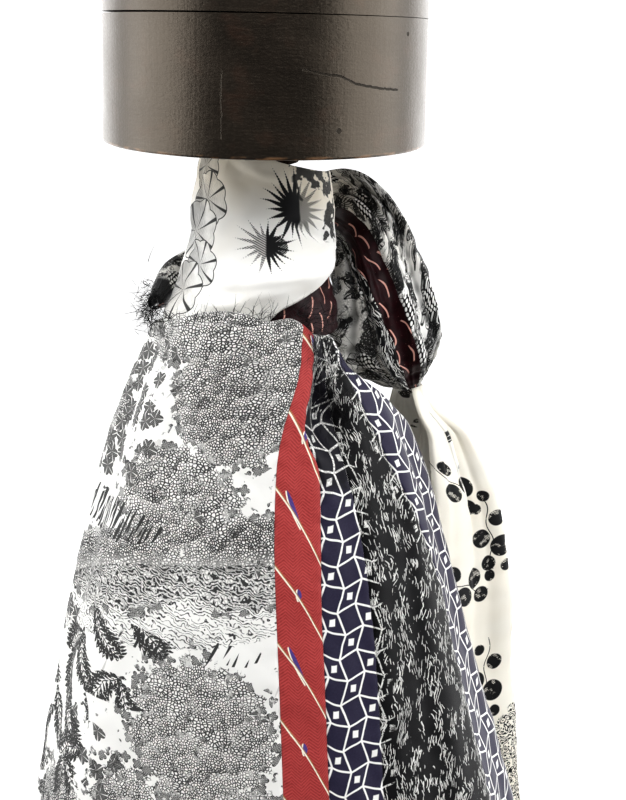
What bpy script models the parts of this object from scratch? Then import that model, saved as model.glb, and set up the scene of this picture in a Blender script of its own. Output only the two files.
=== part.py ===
"""A patchwork silk scarf wound round the neck of a wooden hat stand.

Metres, +Z up, with the stand's axis on Z and its foot on Z = 0. The front faces -Y.
Angles in the tables are degrees round the axis, from 0 at the front, positive to +X.
Each stretch of cloth is a wall laid on a surface that its own tables describe.
"""

import math

import bmesh
import bpy
import numpy as np

# Cloth
CLOTH_THICKNESS = 0.0016
SEAM_GAP = 0.0003

# Stand
FOOT_RADIUS = 0.150
FOOT_HEIGHT = 0.030
POLE_RADIUS = 0.0125
NECK_UNDERSIDE = 0.500
NECK_RADIUS = 0.0366
COLLAR_UNDERSIDE = 0.6272
COLLAR_RADIUS = 0.0235
BLOCK_UNDERSIDE = 0.640
BLOCK_RADIUS = 0.0956
BLOCK_TOP = 0.786
JOINT_HEIGHT = 0.713
JOINT_SLOPE = -0.0732
JOINT_OPENING = 0.0009
LOWER_RIM_RADIUS = 0.0012
UPPER_RIM_RADIUS = 0.009
FACE_GAP = 0.0003


def table(columns, *rows):
    """The columns of a short table by name, each an array."""
    return dict(zip(columns.split(), np.array(rows, float).T))


# The hanging front panel. The sheet rounds away at left and right.
FRONT_LEVELS = table(
    "height left right front",
    (0.556, -0.0625, 0.0460, 0.0625),
    (0.535, -0.0655, 0.0505, 0.0645),
    (0.514, -0.0700, 0.0600, 0.0675),
    (0.499, -0.0765, 0.0745, 0.0700),
    (0.487, -0.0805, 0.0840, 0.0720),
    (0.456, -0.0900, 0.0975, 0.0770),
    (0.416, -0.1005, 0.1105, 0.0840),
    (0.360, -0.1130, 0.1255, 0.0930),
    (0.295, -0.1240, 0.1440, 0.1020),
    (0.228, -0.1360, 0.1640, 0.1100),
    (0.150, -0.1455, 0.1800, 0.1160),
    (0.080, -0.1510, 0.1890, 0.1200),
)
FRONT_HEM = 0.080
FRONT_ROLL_RADIUS = 0.0035
FRONT_ROLL_TURN = 165.0
FRONT_LEFT_ANGLE = -128.0
# Its right edge, which the roll beside the neck holds back near the top.
FRONT_RIGHT = table(
    "height angle",
    (0.545, 56),
    (0.514, 60),
    (0.495, 68),
    (0.470, 84),
    (0.430, 92),
    (0.080, 94),
)
# Its upper edge, which rolls over towards the neck.
FRONT_TOP = table(
    "angle height",
    (-128, 0.526),
    (-95, 0.529),
    (-70, 0.533),
    (-45, 0.541),
    (-15, 0.548),
    (0, 0.547),
    (14, 0.5425),
    (28, 0.5435),
    (36, 0.5400),
    (44, 0.5330),
    (62, 0.5290),
    (92, 0.5270),
)
# Where the seams between its strips lie across the front, by height.
SEAMS = table(
    "height toile_red red_navy navy_dark dark_edge",
    (0.5435, 0.0255, 0.0310, 0.0350, 0.0395),
    (0.522, 0.0238, 0.0312, 0.0385, 0.0445),
    (0.505, 0.0197, 0.0305, 0.0425, 0.0530),
    (0.488, 0.0155, 0.0275, 0.0470, 0.0625),
    (0.475, 0.0130, 0.0300, 0.0495, 0.0695),
    (0.460, 0.0115, 0.0362, 0.0520, 0.0760),
    (0.437, 0.0110, 0.0376, 0.0580, 0.0870),
    (0.416, 0.0112, 0.0383, 0.0625, 0.0965),
    (0.383, 0.0127, 0.0393, 0.0675, 0.1090),
    (0.349, 0.0146, 0.0412, 0.0718, 0.1190),
    (0.315, 0.0165, 0.0433, 0.0748, 0.1280),
    (0.281, 0.0183, 0.0453, 0.0777, 0.1370),
    (0.253, 0.0196, 0.0468, 0.0797, 0.1445),
    (0.150, 0.0225, 0.0500, 0.0840, 0.1580),
    (0.080, 0.0240, 0.0515, 0.0860, 0.1650),
)
SEAM_NAMES = ("toile_red", "red_navy", "navy_dark", "dark_edge")
# The valley that the navy strip folds into below the neck.
VALLEY = table(
    "height depth",
    (0.440, 0.0000),
    (0.456, 0.0030),
    (0.472, 0.0105),
    (0.488, 0.0150),
    (0.505, 0.0110),
    (0.522, 0.0040),
    (0.540, 0.0000),
)
# Soft folds of the front panel: angle and width in degrees, height of each end.
FRONT_FOLDS = table(
    "angle_above angle_below above below width depth",
    (-52, -62, 0.500, 0.100, 13, 0.0030),
    (-96, -104, 0.490, 0.060, 12, 0.0045),
    (-24, -30, 0.400, 0.040, 14, -0.0020),
    (58, 47, 0.480, 0.060, 9, 0.0035),
    (72, 70, 0.470, 0.200, 8, -0.0030),
)

# The cream stretch round the neck, from its free end at the right, round the left and back.
WRAP_LEVELS = table(
    "height left right front back",
    (0.636, 0.0372, 0.0380, 0.0395, 0.0400),
    (0.615, 0.0405, 0.0410, 0.0425, 0.0415),
    (0.600, 0.0430, 0.0425, 0.0440, 0.0425),
    (0.582, 0.0450, 0.0445, 0.0460, 0.0435),
    (0.563, 0.0495, 0.0480, 0.0500, 0.0445),
    (0.548, 0.0540, 0.0490, 0.0505, 0.0455),
    (0.535, 0.0595, 0.0490, 0.0500, 0.0460),
    (0.520, 0.0597, 0.0480, 0.0485, 0.0460),
)
WRAP_EDGES = table(
    "angle top bottom",
    (-282, 0.6175, 0.5860),
    (-262, 0.6180, 0.5760),
    (-240, 0.6190, 0.5620),
    (-215, 0.6200, 0.5520),
    (-180, 0.6220, 0.5420),
    (-140, 0.6260, 0.5350),
    (-100, 0.6320, 0.5270),
    (-60, 0.6355, 0.5230),
    (-15, 0.6355, 0.5290),
    (5, 0.6345, 0.5390),
    (17, 0.6320, 0.5470),
    (35, 0.6290, 0.5540),
    (55, 0.6260, 0.5640),
    (70, 0.6245, 0.5720),
    (84, 0.6235, 0.5790),
)
WRAP_TUCK = 0.0034
WRAP_SPLIT = -105.0
WRAP_ROLL_RADIUS = 0.0030
WRAP_ROLL_TURN = 100.0
WRAP_FREE_END = 84.0
WRAP_TUCK_FROM = -185.0
WRAP_TUCK_OVER = 70.0
WRAP_TUCKED_END = -282.0
WRAP_MEAN_RADIUS = 0.045
UNDER_END = 74.0
# Creases across the wrap: each runs from one angle and height to another.
WRAP_CREASES = table(
    "from_angle from_height to_angle to_height width depth",
    (-34, 0.628, 14, 0.611, 0.0060, -0.0022),
    (-12, 0.5580, 62, 0.5730, 0.0085, 0.0055),
    (30, 0.594, 66, 0.5880, 0.0065, -0.0020),
    (46, 0.608, 84, 0.6020, 0.0060, 0.0018),
    (-100, 0.600, -50, 0.5700, 0.0080, -0.0018),
    (-200, 0.600, -130, 0.5800, 0.0070, -0.0015),
)

# The dark stretch that shows below the cream one.
UNDER_LEVELS = table(
    "height left right front back",
    (0.576, 0.0400, 0.0395, 0.0410, 0.041),
    (0.556, 0.0430, 0.0440, 0.0455, 0.045),
    (0.540, 0.0460, 0.0480, 0.0466, 0.045),
    (0.525, 0.0470, 0.0490, 0.0466, 0.045),
)
UNDER_EDGES = table(
    "angle top bottom",
    (0, 0.560, 0.5310),
    (20, 0.563, 0.5300),
    (45, 0.5675, 0.5280),
    (74, 0.5640, 0.5300),
)

# The thick pleated roll, from the left of the neck round the back to the knot at the right.
ROLL_STATIONS = table(
    "x y z across outward facing open_start open_end inner",
    (-0.0652, -0.0020, 0.5415, 0.0045, 0.0040, 95, -110, 232, 0.0000),
    (-0.0575, 0.0345, 0.5470, 0.0130, 0.0080, 60, -110, 232, 0.0000),
    (-0.0150, 0.0630, 0.5620, 0.0170, 0.0095, 10, -110, 230, 0.0000),
    (0.0270, 0.0620, 0.5830, 0.0190, 0.0110, -10, -95, 215, 0.0000),
    (0.0510, 0.0440, 0.5960, 0.0200, 0.0125, -10, -78, 190, 0.0000),
    (0.0640, 0.0270, 0.5850, 0.0205, 0.0150, 0, -90, 165, 0.0035),
    (0.0715, 0.0150, 0.5650, 0.0215, 0.0170, 8, -110, 150, 0.0075),
    (0.0780, 0.0090, 0.5420, 0.0235, 0.0180, 12, -112, 150, 0.0105),
    (0.0840, 0.0100, 0.5180, 0.0235, 0.0170, 12, -112, 150, 0.0175),
    (0.0880, 0.0150, 0.5020, 0.0175, 0.0130, 16, -112, 150, 0.0165),
    (0.0900, 0.0200, 0.4905, 0.0100, 0.0090, 20, -112, 150, 0.0060),
)
# How far round its section the roll's inner edge starts to flare towards the neck.
ROLL_FLARE_FROM = -72.0
ROLL_FLARE_TO = -108.0
ROLL_FLARE_BACK = 0.9
ROLL_DRIFT_FROM = 0.7
# Ridges of the roll: angle round its section, width in degrees, height, and the degrees
# that it drifts round the section from the roll's start to the knot.
ROLL_RIDGES = table(
    "angle width height drift",
    (-88, 14, 0.0030, 0),
    (-60, 13, -0.0038, 8),
    (-32, 12, 0.0034, 14),
    (-5, 12, -0.0020, 10),
    (18, 12, 0.0032, 14),
    (44, 13, -0.0050, 20),
    (69, 12, 0.0038, 22),
    (95, 13, -0.0042, 16),
    (121, 12, 0.0026, 8),
)
# Where the seams between its strips lie, by angle round its section, along its length.
ROLL_SEAMS = table(
    "down cream_dark dark_maroon maroon_outer",
    (0.00, -72, -48, -8),
    (0.40, -70, -44, -6),
    (0.55, -76, -56, -2),
    (0.66, -56, -32, 4),
    (0.80, -42, -16, 14),
    (1.00, -40, -14, 16),
)
ROLL_SEAM_HALF = 1.1

# The cream end that hangs behind, fanning out from the knot.
TAIL_LEVELS = table(
    "height centre_x centre_y half_x half_y",
    (0.4884, 0.0905, 0.0225, 0.0095, 0.0085),
    (0.4740, 0.0930, 0.0240, 0.0160, 0.0120),
    (0.4560, 0.0980, 0.0290, 0.0285, 0.0190),
    (0.4265, 0.0980, 0.0360, 0.0420, 0.0290),
    (0.3760, 0.0910, 0.0450, 0.0640, 0.0410),
    (0.3150, 0.0820, 0.0520, 0.0790, 0.0490),
    (0.2470, 0.0750, 0.0570, 0.0930, 0.0550),
    (0.1600, 0.0700, 0.0600, 0.1060, 0.0590),
    (0.0950, 0.0670, 0.0620, 0.1130, 0.0620),
)
TAIL_START = 12.0
TAIL_END = 238.0
TAIL_HEM = 0.095
TAIL_FOLDS = table(
    "angle_above angle_below above below width depth",
    (24, 28, 0.478, 0.080, 10, 0.0045),
    (44, 52, 0.476, 0.200, 9, -0.0065),
    (72, 78, 0.470, 0.080, 12, 0.0040),
    (104, 112, 0.474, 0.060, 11, -0.0070),
    (140, 146, 0.474, 0.060, 12, 0.0060),
    (172, 178, 0.474, 0.060, 11, -0.0060),
    (206, 208, 0.474, 0.060, 12, 0.0050),
)


def smooth_curve(knots, values, at):
    """A curve through a column of values that never swings past them, held beyond its ends."""
    order = np.argsort(knots)
    x, y = knots[order], values[order]
    step = np.diff(x)
    rise = np.diff(y) / step
    same_way = rise[:-1] * rise[1:] > 0
    total = np.where(same_way, rise[:-1] + rise[1:], 1.0)
    slope = np.zeros_like(y)
    slope[1:-1] = np.where(same_way, 2 * rise[:-1] * rise[1:] / total, 0.0)
    slope[0], slope[-1] = rise[0], rise[-1]
    i = np.clip(np.searchsorted(x, at) - 1, 0, len(x) - 2)
    s = np.clip((at - x[i]) / step[i], 0, 1)
    rest = 1 - s
    ends = y[i] * rest**2 * (1 + 2 * s) + y[i + 1] * s**2 * (1 + 2 * rest)
    tangents = (slope[i] * rest - slope[i + 1] * s) * s * rest * step[i]
    return ends + tangents


def column(rows, name, at, key="height"):
    """The value of one column of a table at the given heights, or angles."""
    return smooth_curve(rows[key], rows[name], np.asarray(at, float))


def ease(t):
    """From 0 to 1, level at both ends."""
    t = np.clip(t, 0, 1)
    return t * t * (3 - 2 * t)


def unit(v):
    return v / np.maximum(np.linalg.norm(v, axis=-1, keepdims=True), 1e-12)


def stack(x, y, z):
    return np.stack(np.broadcast_arrays(x, y, z), axis=-1)


def folds(rows, angle, height):
    """How far the long hanging folds of a panel push it out, at each angle and height."""
    push = np.zeros(np.broadcast(angle, height).shape)
    for above, below, top, bottom, width, depth in zip(*(rows[name] for name in rows)):
        down = np.clip((top - height) / (top - bottom), 0, 1)
        middle = above + (below - above) * down
        fade = ease((top + 0.03 - height) / 0.05) * ease((height - bottom + 0.04) / 0.08)
        push = push + depth * fade * np.exp(-(((angle - middle) / width) ** 2))
    return push


def front_panel(across, down):
    """The front panel. Across is an angle at the hem, given by front_angle, and down runs
    from 0 at the upper edge to 1 at the hem. Below 0 it rolls over towards the neck."""
    angle, down = np.broadcast_arrays(across, down)
    roll = np.clip(-down, 0, 1) * math.radians(FRONT_ROLL_TURN)
    top = column(FRONT_TOP, "height", angle, "angle") - FRONT_ROLL_RADIUS
    height = top + (FRONT_HEM - top) * np.clip(down, 0, 1)
    left = column(FRONT_LEVELS, "left", height)
    right = column(FRONT_LEVELS, "right", height)
    depth = column(FRONT_LEVELS, "front", height)
    middle, half = (right + left) / 2, (right - left) / 2
    turn = np.radians(angle)
    outward = unit(stack(depth * np.sin(turn), -half * np.cos(turn), 0 * turn))
    push = folds(FRONT_FOLDS, angle, height) - valley(angle, height, middle, half)
    base = stack(middle + half * np.sin(turn), -depth * np.cos(turn), height)
    inward = FRONT_ROLL_RADIUS * (1 - np.cos(roll))
    point = base + outward * (push - inward)[..., None]
    point[..., 2] += FRONT_ROLL_RADIUS * np.sin(roll)
    return point


def valley(angle, height, middle, half):
    """The depth of the fold beside the red strip, steep on its left and easy on its right."""
    near = front_angle("red_navy", height, middle, half)
    far = front_angle("navy_dark", height, middle, half)
    steep = ease((angle - near + 1.0) / 9.0)
    easy = 1 - ease((angle - far + 5.0) / 15.0)
    return column(VALLEY, "depth", height) * steep * easy


def front_angle(seam, height, middle=None, half=None):
    """The angle at which a seam of the front panel lies at a height."""
    if middle is None:
        left = column(FRONT_LEVELS, "left", height)
        right = column(FRONT_LEVELS, "right", height)
        middle, half = (right + left) / 2, (right - left) / 2
    sine = np.clip((column(SEAMS, seam, height) - middle) / half, -1, 0.985)
    return np.degrees(np.arcsin(sine))


def front_edge(edge, height):
    """The angle of a strip's edge at each height: a seam, or the left or right of the panel."""
    if edge == "left":
        return FRONT_LEFT_ANGLE + 0 * height
    if edge == "right":
        return column(FRONT_RIGHT, "angle", height)
    return front_angle(edge, height)


def front_strip_angles(start, end, share, down):
    """Angles across a strip of the front panel, at shares of its width, for each row. Half
    of the seam gap is left at each edge that meets another strip."""
    mean_top = SEAMS["height"].max()
    height = mean_top + (FRONT_HEM - mean_top) * np.clip(down, 0, 1) + 0 * share
    for _ in range(4):
        first = front_edge(start, height)
        last = front_edge(end, height)
        if start != "left":
            first = first + half_gap(front_panel, first, down)
        if end != "right":
            last = last - half_gap(front_panel, last, down)
        angle = first + (last - first) * share
        top = column(FRONT_TOP, "height", angle, "angle")
        height = top + (FRONT_HEM - top) * np.clip(down, 0, 1)
    return angle


def half_gap(surface, angle, down):
    """Half of the seam gap as an angle, where the surface runs at this slope."""
    beside = surface(angle + 0.5, down) - surface(angle - 0.5, down)
    return SEAM_GAP / 2 / np.linalg.norm(beside, axis=-1)


def neck_sheet(levels, angle, height):
    """A point of a sheet wound round the neck, and the way out from it."""
    turn = np.radians(angle)
    side = np.where(
        np.sin(turn) > 0,
        column(levels, "right", height),
        column(levels, "left", height),
    )
    face = np.where(
        np.cos(turn) > 0,
        column(levels, "front", height),
        column(levels, "back", height),
    )
    point = stack(side * np.sin(turn), -face * np.cos(turn), height)
    outward = unit(stack(face * np.sin(turn), -side * np.cos(turn), 0 * turn))
    return point, outward


def creases(rows, angle, height, radius):
    """How far short creases push a sheet out. Each is a line on the unrolled sheet."""
    push = np.zeros(np.broadcast(angle, height).shape)
    across = np.radians(angle) * radius
    names = ("from_angle", "from_height", "to_angle", "to_height", "width", "depth")
    for a, b, c, d, width, depth in zip(*(rows[name] for name in names)):
        start = np.array([math.radians(a) * radius, b])
        line = np.array([math.radians(c) * radius, d]) - start
        place = np.stack([across - start[0], height - start[1]], axis=-1)
        share = np.clip(place @ line / (line @ line), 0, 1)
        off = np.linalg.norm(place - share[..., None] * line, axis=-1)
        taper = 0.35 + 0.65 * np.sin(math.pi * np.clip(share, 0.0, 1.0)) ** 0.5
        push = push + depth * taper * np.exp(-((off / width) ** 2))
    return push


def wrap(across, down):
    """The cream stretch round the neck. Past 1 its lower edge rolls under."""
    angle, down = np.broadcast_arrays(across, down)
    top = column(WRAP_EDGES, "top", angle, "angle")
    bottom = column(WRAP_EDGES, "bottom", angle, "angle") + WRAP_ROLL_RADIUS
    roll = np.clip(down - 1, 0, 1) * math.radians(WRAP_ROLL_TURN)
    height = top + (bottom - top) * np.clip(down, 0, 1)
    point, outward = neck_sheet(WRAP_LEVELS, angle, height)
    push = creases(WRAP_CREASES, angle, height, WRAP_MEAN_RADIUS)
    push = push - WRAP_TUCK * ease((WRAP_TUCK_FROM - angle) / WRAP_TUCK_OVER)
    inward = WRAP_ROLL_RADIUS * (1 - np.cos(roll))
    point = point + outward * (push - inward)[..., None]
    point[..., 2] -= WRAP_ROLL_RADIUS * np.sin(roll)
    return point


def under_wrap(across, down):
    """The dark stretch below the cream one."""
    angle, down = np.broadcast_arrays(across, down)
    top = column(UNDER_EDGES, "top", angle, "angle")
    bottom = column(UNDER_EDGES, "bottom", angle, "angle")
    point, outward = neck_sheet(UNDER_LEVELS, angle, top + (bottom - top) * down)
    return point


def roll_frame(share):
    """The roll's middle line at a share of its length, with its outward and side ways."""
    number = np.arange(len(ROLL_STATIONS["x"]), dtype=float)
    at = np.asarray(share) * number[-1]

    def station(name, where):
        return smooth_curve(number, ROLL_STATIONS[name], where)

    def middle_line(where):
        return stack(*(station(name, where) for name in "xyz"))

    step = 0.05
    ahead = middle_line(np.clip(at + step, 0, number[-1]))
    behind = middle_line(np.clip(at - step, 0, number[-1]))
    tangent = unit(ahead - behind)
    facing = np.radians(station("facing", at))
    out = stack(np.sin(facing), -np.cos(facing), 0 * facing)
    out = unit(out - tangent * (out * tangent).sum(-1, keepdims=True))
    side = -np.cross(tangent, out)
    sizes = (station(name, at) for name in ("across", "outward", "inner"))
    return middle_line(at), out, side, *sizes


def roll_surface(across, down):
    """The pleated roll. Across is the angle round its section."""
    angle, down = np.broadcast_arrays(across, down)
    middle, out, side, half_across, half_out, inner = roll_frame(down)
    push = np.zeros(angle.shape)
    names = ("angle", "width", "height", "drift")
    for at, width, height, drift in zip(*(ROLL_RIDGES[name] for name in names)):
        crest = at + drift * (down - ROLL_DRIFT_FROM)
        push = push + height * np.exp(-(((angle - crest) / width) ** 2))
    gather = np.minimum(half_across / 0.022, 1.0) ** 2 * (0.3 + 0.7 * ease((down - 0.4) / 0.3))
    turn = np.radians(angle)
    round_out = stack(np.cos(turn) * half_across, np.sin(turn) * half_out, 0 * turn)
    round_out = unit(round_out)
    flare = inner * ease((ROLL_FLARE_FROM - angle) / (ROLL_FLARE_FROM - ROLL_FLARE_TO))
    sideways = half_across * np.sin(turn) + push * gather * round_out[..., 1] - flare
    outwards = half_out * np.cos(turn) + push * gather * round_out[..., 0]
    outwards = outwards - flare * ROLL_FLARE_BACK
    return middle + out * outwards[..., None] + side * sideways[..., None]


def roll_strip_angles(start, end, share, down):
    """Angles across a strip of the roll, between two seams or its open edges."""
    first = roll_edge(start, "open_start", down, ROLL_SEAM_HALF)
    last = roll_edge(end, "open_end", down, -ROLL_SEAM_HALF)
    return first + (last - first) * share


def roll_edge(seam, open_edge, down, clear):
    """The angle of a seam, moved clear of its line, or of an open edge where seam is None."""
    if seam is None:
        number = np.arange(len(ROLL_STATIONS["x"]), dtype=float)
        return smooth_curve(number, ROLL_STATIONS[open_edge], np.asarray(down) * number[-1])
    return smooth_curve(ROLL_SEAMS["down"], ROLL_SEAMS[seam], down) + clear


def tail(across, down):
    """The cream end that hangs from the knot."""
    angle, down = np.broadcast_arrays(across, down)
    height = TAIL_LEVELS["height"][0] + (TAIL_HEM - TAIL_LEVELS["height"][0]) * down
    names = ("centre_x", "centre_y", "half_x", "half_y")
    middle_x, middle_y, half_x, half_y = (column(TAIL_LEVELS, n, height) for n in names)
    turn = np.radians(angle)
    outward = unit(stack(half_y * np.sin(turn), -half_x * np.cos(turn), 0 * turn))
    point = stack(middle_x + half_x * np.sin(turn), middle_y - half_y * np.cos(turn), height)
    push = folds(TAIL_FOLDS, angle, height) * ease(half_y / 0.030)
    return point + outward * push[..., None]


def wall(name, surface, angles, downs, colour, roughness):
    """One piece of cloth: a wall behind a surface, on a grid of angles and downs.
    Its faces are laid row by row, and neighbours share the surface that both are cut from,
    so that they meet face to face at a seam."""
    small_angle, small_down = 0.05, 0.0005
    outside = surface(angles, downs)
    along_rows = surface(angles + small_angle, downs) - surface(angles - small_angle, downs)
    down_columns = surface(angles, downs + small_down) - surface(angles, downs - small_down)
    normal = unit(np.cross(down_columns, along_rows))
    inside = outside - normal * CLOTH_THICKNESS
    rows, columns = outside.shape[:2]
    mesh = bpy.data.meshes.new(name)
    shell = bmesh.new()
    faces = [
        [[shell.verts.new(point) for point in line] for line in side]
        for side in (outside, inside)
    ]
    for front, order in zip(faces, (1, -1)):
        for r in range(rows - 1):
            for c in range(columns - 1):
                corners = (
                    front[r][c],
                    front[r + 1][c],
                    front[r + 1][c + 1],
                    front[r][c + 1],
                )
                shell.faces.new(corners[::order])
    rim = [(0, c) for c in range(columns)]
    rim += [(r, columns - 1) for r in range(1, rows)]
    rim += [(rows - 1, c) for c in range(columns - 2, -1, -1)]
    rim += [(r, 0) for r in range(rows - 2, 0, -1)]
    for here, after in zip(rim, rim[1:] + rim[:1]):
        upper, lower = sorted((here, after))
        upper_out, upper_in = (side[upper[0]][upper[1]] for side in faces)
        lower_out, lower_in = (side[lower[0]][lower[1]] for side in faces)
        shell.faces.new((upper_out, lower_out, lower_in))
        shell.faces.new((upper_out, lower_in, upper_in))
    bmesh.ops.recalc_face_normals(shell, faces=shell.faces)
    shell.to_mesh(mesh)
    shell.free()
    mesh.shade_smooth()
    piece = bpy.data.objects.new(name, mesh)
    piece.data.materials.append(material(name + "_cloth", colour, roughness))
    scarf_parts.objects.link(piece)
    return piece


def material(name, colour, roughness, metallic=0.0):
    made = bpy.data.materials.new(name)
    made.use_nodes = True
    shader = made.node_tree.nodes["Principled BSDF"]
    shader.inputs["Base Color"].default_value = (*colour, 1.0)
    shader.inputs["Roughness"].default_value = roughness
    shader.inputs["Metallic"].default_value = metallic
    return made


CREAM = (0.86, 0.83, 0.76)
TOILE = (0.55, 0.55, 0.52)
RED = (0.45, 0.07, 0.07)
NAVY = (0.04, 0.035, 0.09)
DARK = (0.03, 0.03, 0.03)
MAROON = (0.05, 0.01, 0.015)
DARK_WOOD = (0.06, 0.045, 0.035)
SILK_ROUGHNESS = 0.55
WOOD_ROUGHNESS = 0.4


def front_rows():
    """The rows down the front panel, from the end of its roll to the hem."""
    rolled = np.linspace(-1.0, -0.25, 4)
    near_neck = np.linspace(0.0, 0.26, 10)
    hanging = np.linspace(0.26, 1.0, 13)[1:]
    return np.concatenate([rolled, near_neck, hanging])[:, None]


def make_front_panel():
    """The five strips that are sewn side by side."""
    rows = front_rows()
    strips = (
        ("front_toile", "left", "toile_red", 22, TOILE),
        ("front_red_strip", "toile_red", "red_navy", 4, RED),
        ("front_navy_strip", "red_navy", "navy_dark", 7, NAVY),
        ("front_dark_strip", "navy_dark", "dark_edge", 6, DARK),
        ("front_navy_edge", "dark_edge", "right", 7, NAVY),
    )
    for name, start, end, columns, colour in strips:
        shares = np.linspace(0, 1, columns)[None, :]
        angles = front_strip_angles(start, end, shares, rows)
        wall(name, front_panel, angles, rows + 0 * angles, colour, SILK_ROUGHNESS)


def make_neck_wrap():
    """The cream stretch, as its front and its back, and the dark one below it."""
    rows = np.concatenate([np.linspace(0, 1, 11), np.linspace(1.3, 2, 3)])[:, None]
    seam = math.degrees(SEAM_GAP / 2 / NECK_RADIUS)
    for name, start, end, columns in (
        ("neck_wrap_front", WRAP_SPLIT + seam, WRAP_FREE_END, 22),
        ("neck_wrap_back", WRAP_TUCKED_END, WRAP_SPLIT - seam, 16),
    ):
        angles = np.linspace(start, end, columns)[None, :] + 0 * rows
        wall(name, wrap, angles, rows + 0 * angles, CREAM, SILK_ROUGHNESS)
    rows = np.linspace(0, 1, 4)[:, None]
    angles = np.linspace(0.0, UNDER_END, 9)[None, :] + 0 * rows
    wall("neck_under_wrap", under_wrap, angles, rows + 0 * angles, MAROON, SILK_ROUGHNESS)


def make_roll():
    """The four strips of the roll."""
    rows = np.linspace(0, 1, 23)[:, None]
    strips = (
        ("roll_inner_cream", None, "cream_dark", 9, CREAM),
        ("roll_dark_strip", "cream_dark", "dark_maroon", 5, DARK),
        ("roll_maroon_strip", "dark_maroon", "maroon_outer", 6, MAROON),
        ("roll_outer_cream", "maroon_outer", None, 14, CREAM),
    )
    for name, start, end, columns, colour in strips:
        shares = np.linspace(0, 1, columns)[None, :]
        angles = roll_strip_angles(start, end, shares, rows)
        wall(name, roll_surface, angles, rows + 0 * angles, colour, SILK_ROUGHNESS)


def make_tail():
    """The cream end behind, with more rows near the knot."""
    rows = np.concatenate([np.linspace(0, 0.2, 7), np.linspace(0.2, 1, 11)[1:]])[:, None]
    angles = np.linspace(TAIL_START, TAIL_END, 27)[None, :] + 0 * rows
    wall("tail_cream", tail, angles, rows + 0 * angles, CREAM, SILK_ROUGHNESS)


def turned(name, profile, segments, colour):
    """A turned piece of wood: its profile runs down the outer side, from top to bottom."""
    mesh = bpy.data.meshes.new(name)
    points = [(0.0, 0.0, profile[0][1])]
    points += [(radius, 0.0, height) for radius, height in profile]
    points += [(0.0, 0.0, profile[-1][1])]
    mesh.from_pydata(points, [(i, i + 1) for i in range(len(points) - 1)], [])
    piece = bpy.data.objects.new(name, mesh)
    stand_parts.objects.link(piece)
    screw = piece.modifiers.new("Turned", "SCREW")
    screw.axis = "Z"
    screw.steps = segments
    screw.render_steps = segments
    screw.use_merge_vertices = True
    screw.merge_threshold = 0.00001
    mesh.materials.append(material(name + "_wood", colour, WOOD_ROUGHNESS))
    return piece


def make_stand():
    """Foot, pole, neck and collar, turned about the axis."""
    edge = 0.006
    turned(
        "stand_foot",
        [
            (0.040, FOOT_HEIGHT),
            (FOOT_RADIUS - 0.030, FOOT_HEIGHT - 0.004),
            (FOOT_RADIUS - edge, FOOT_HEIGHT - 0.011),
            (FOOT_RADIUS, FOOT_HEIGHT - 0.017),
            (FOOT_RADIUS, 0.004),
            (FOOT_RADIUS - 0.003, 0.0),
        ],
        64,
        DARK_WOOD,
    )
    turned(
        "stand_pole",
        [
            (POLE_RADIUS, NECK_UNDERSIDE - FACE_GAP),
            (POLE_RADIUS, FOOT_HEIGHT + 0.030),
            (POLE_RADIUS + 0.004, FOOT_HEIGHT + 0.024),
            (0.024, FOOT_HEIGHT + 0.010),
            (0.030, FOOT_HEIGHT + FACE_GAP),
        ],
        32,
        DARK_WOOD,
    )
    turned(
        "stand_neck",
        [
            (0.0150, COLLAR_UNDERSIDE - FACE_GAP),
            (0.0165, COLLAR_UNDERSIDE - 0.004),
            (0.0270, COLLAR_UNDERSIDE - 0.008),
            (NECK_RADIUS - 0.0035, COLLAR_UNDERSIDE - 0.016),
            (NECK_RADIUS, COLLAR_UNDERSIDE - 0.030),
            (NECK_RADIUS, NECK_UNDERSIDE + 0.035),
            (NECK_RADIUS - 0.004, NECK_UNDERSIDE + 0.016),
            (NECK_RADIUS - 0.015, NECK_UNDERSIDE + 0.003),
            (POLE_RADIUS + 0.004, NECK_UNDERSIDE),
        ],
        40,
        DARK_WOOD,
    )
    turned(
        "stand_collar",
        [
            (COLLAR_RADIUS - 0.001, BLOCK_UNDERSIDE - FACE_GAP),
            (COLLAR_RADIUS, BLOCK_UNDERSIDE - 0.003),
            (COLLAR_RADIUS, BLOCK_UNDERSIDE - 0.008),
            (COLLAR_RADIUS - 0.003, COLLAR_UNDERSIDE + 0.001),
            (COLLAR_RADIUS - 0.006, COLLAR_UNDERSIDE),
        ],
        40,
        DARK_WOOD,
    )


def tilt_ring(piece, height, shift):
    """Moves the points of a solid near a height by an amount that depends on their place."""
    for vertex in piece.data.vertices:
        if abs(vertex.co.z - height) < 0.001:
            vertex.co.z += shift(vertex.co.x, vertex.co.y)


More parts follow.
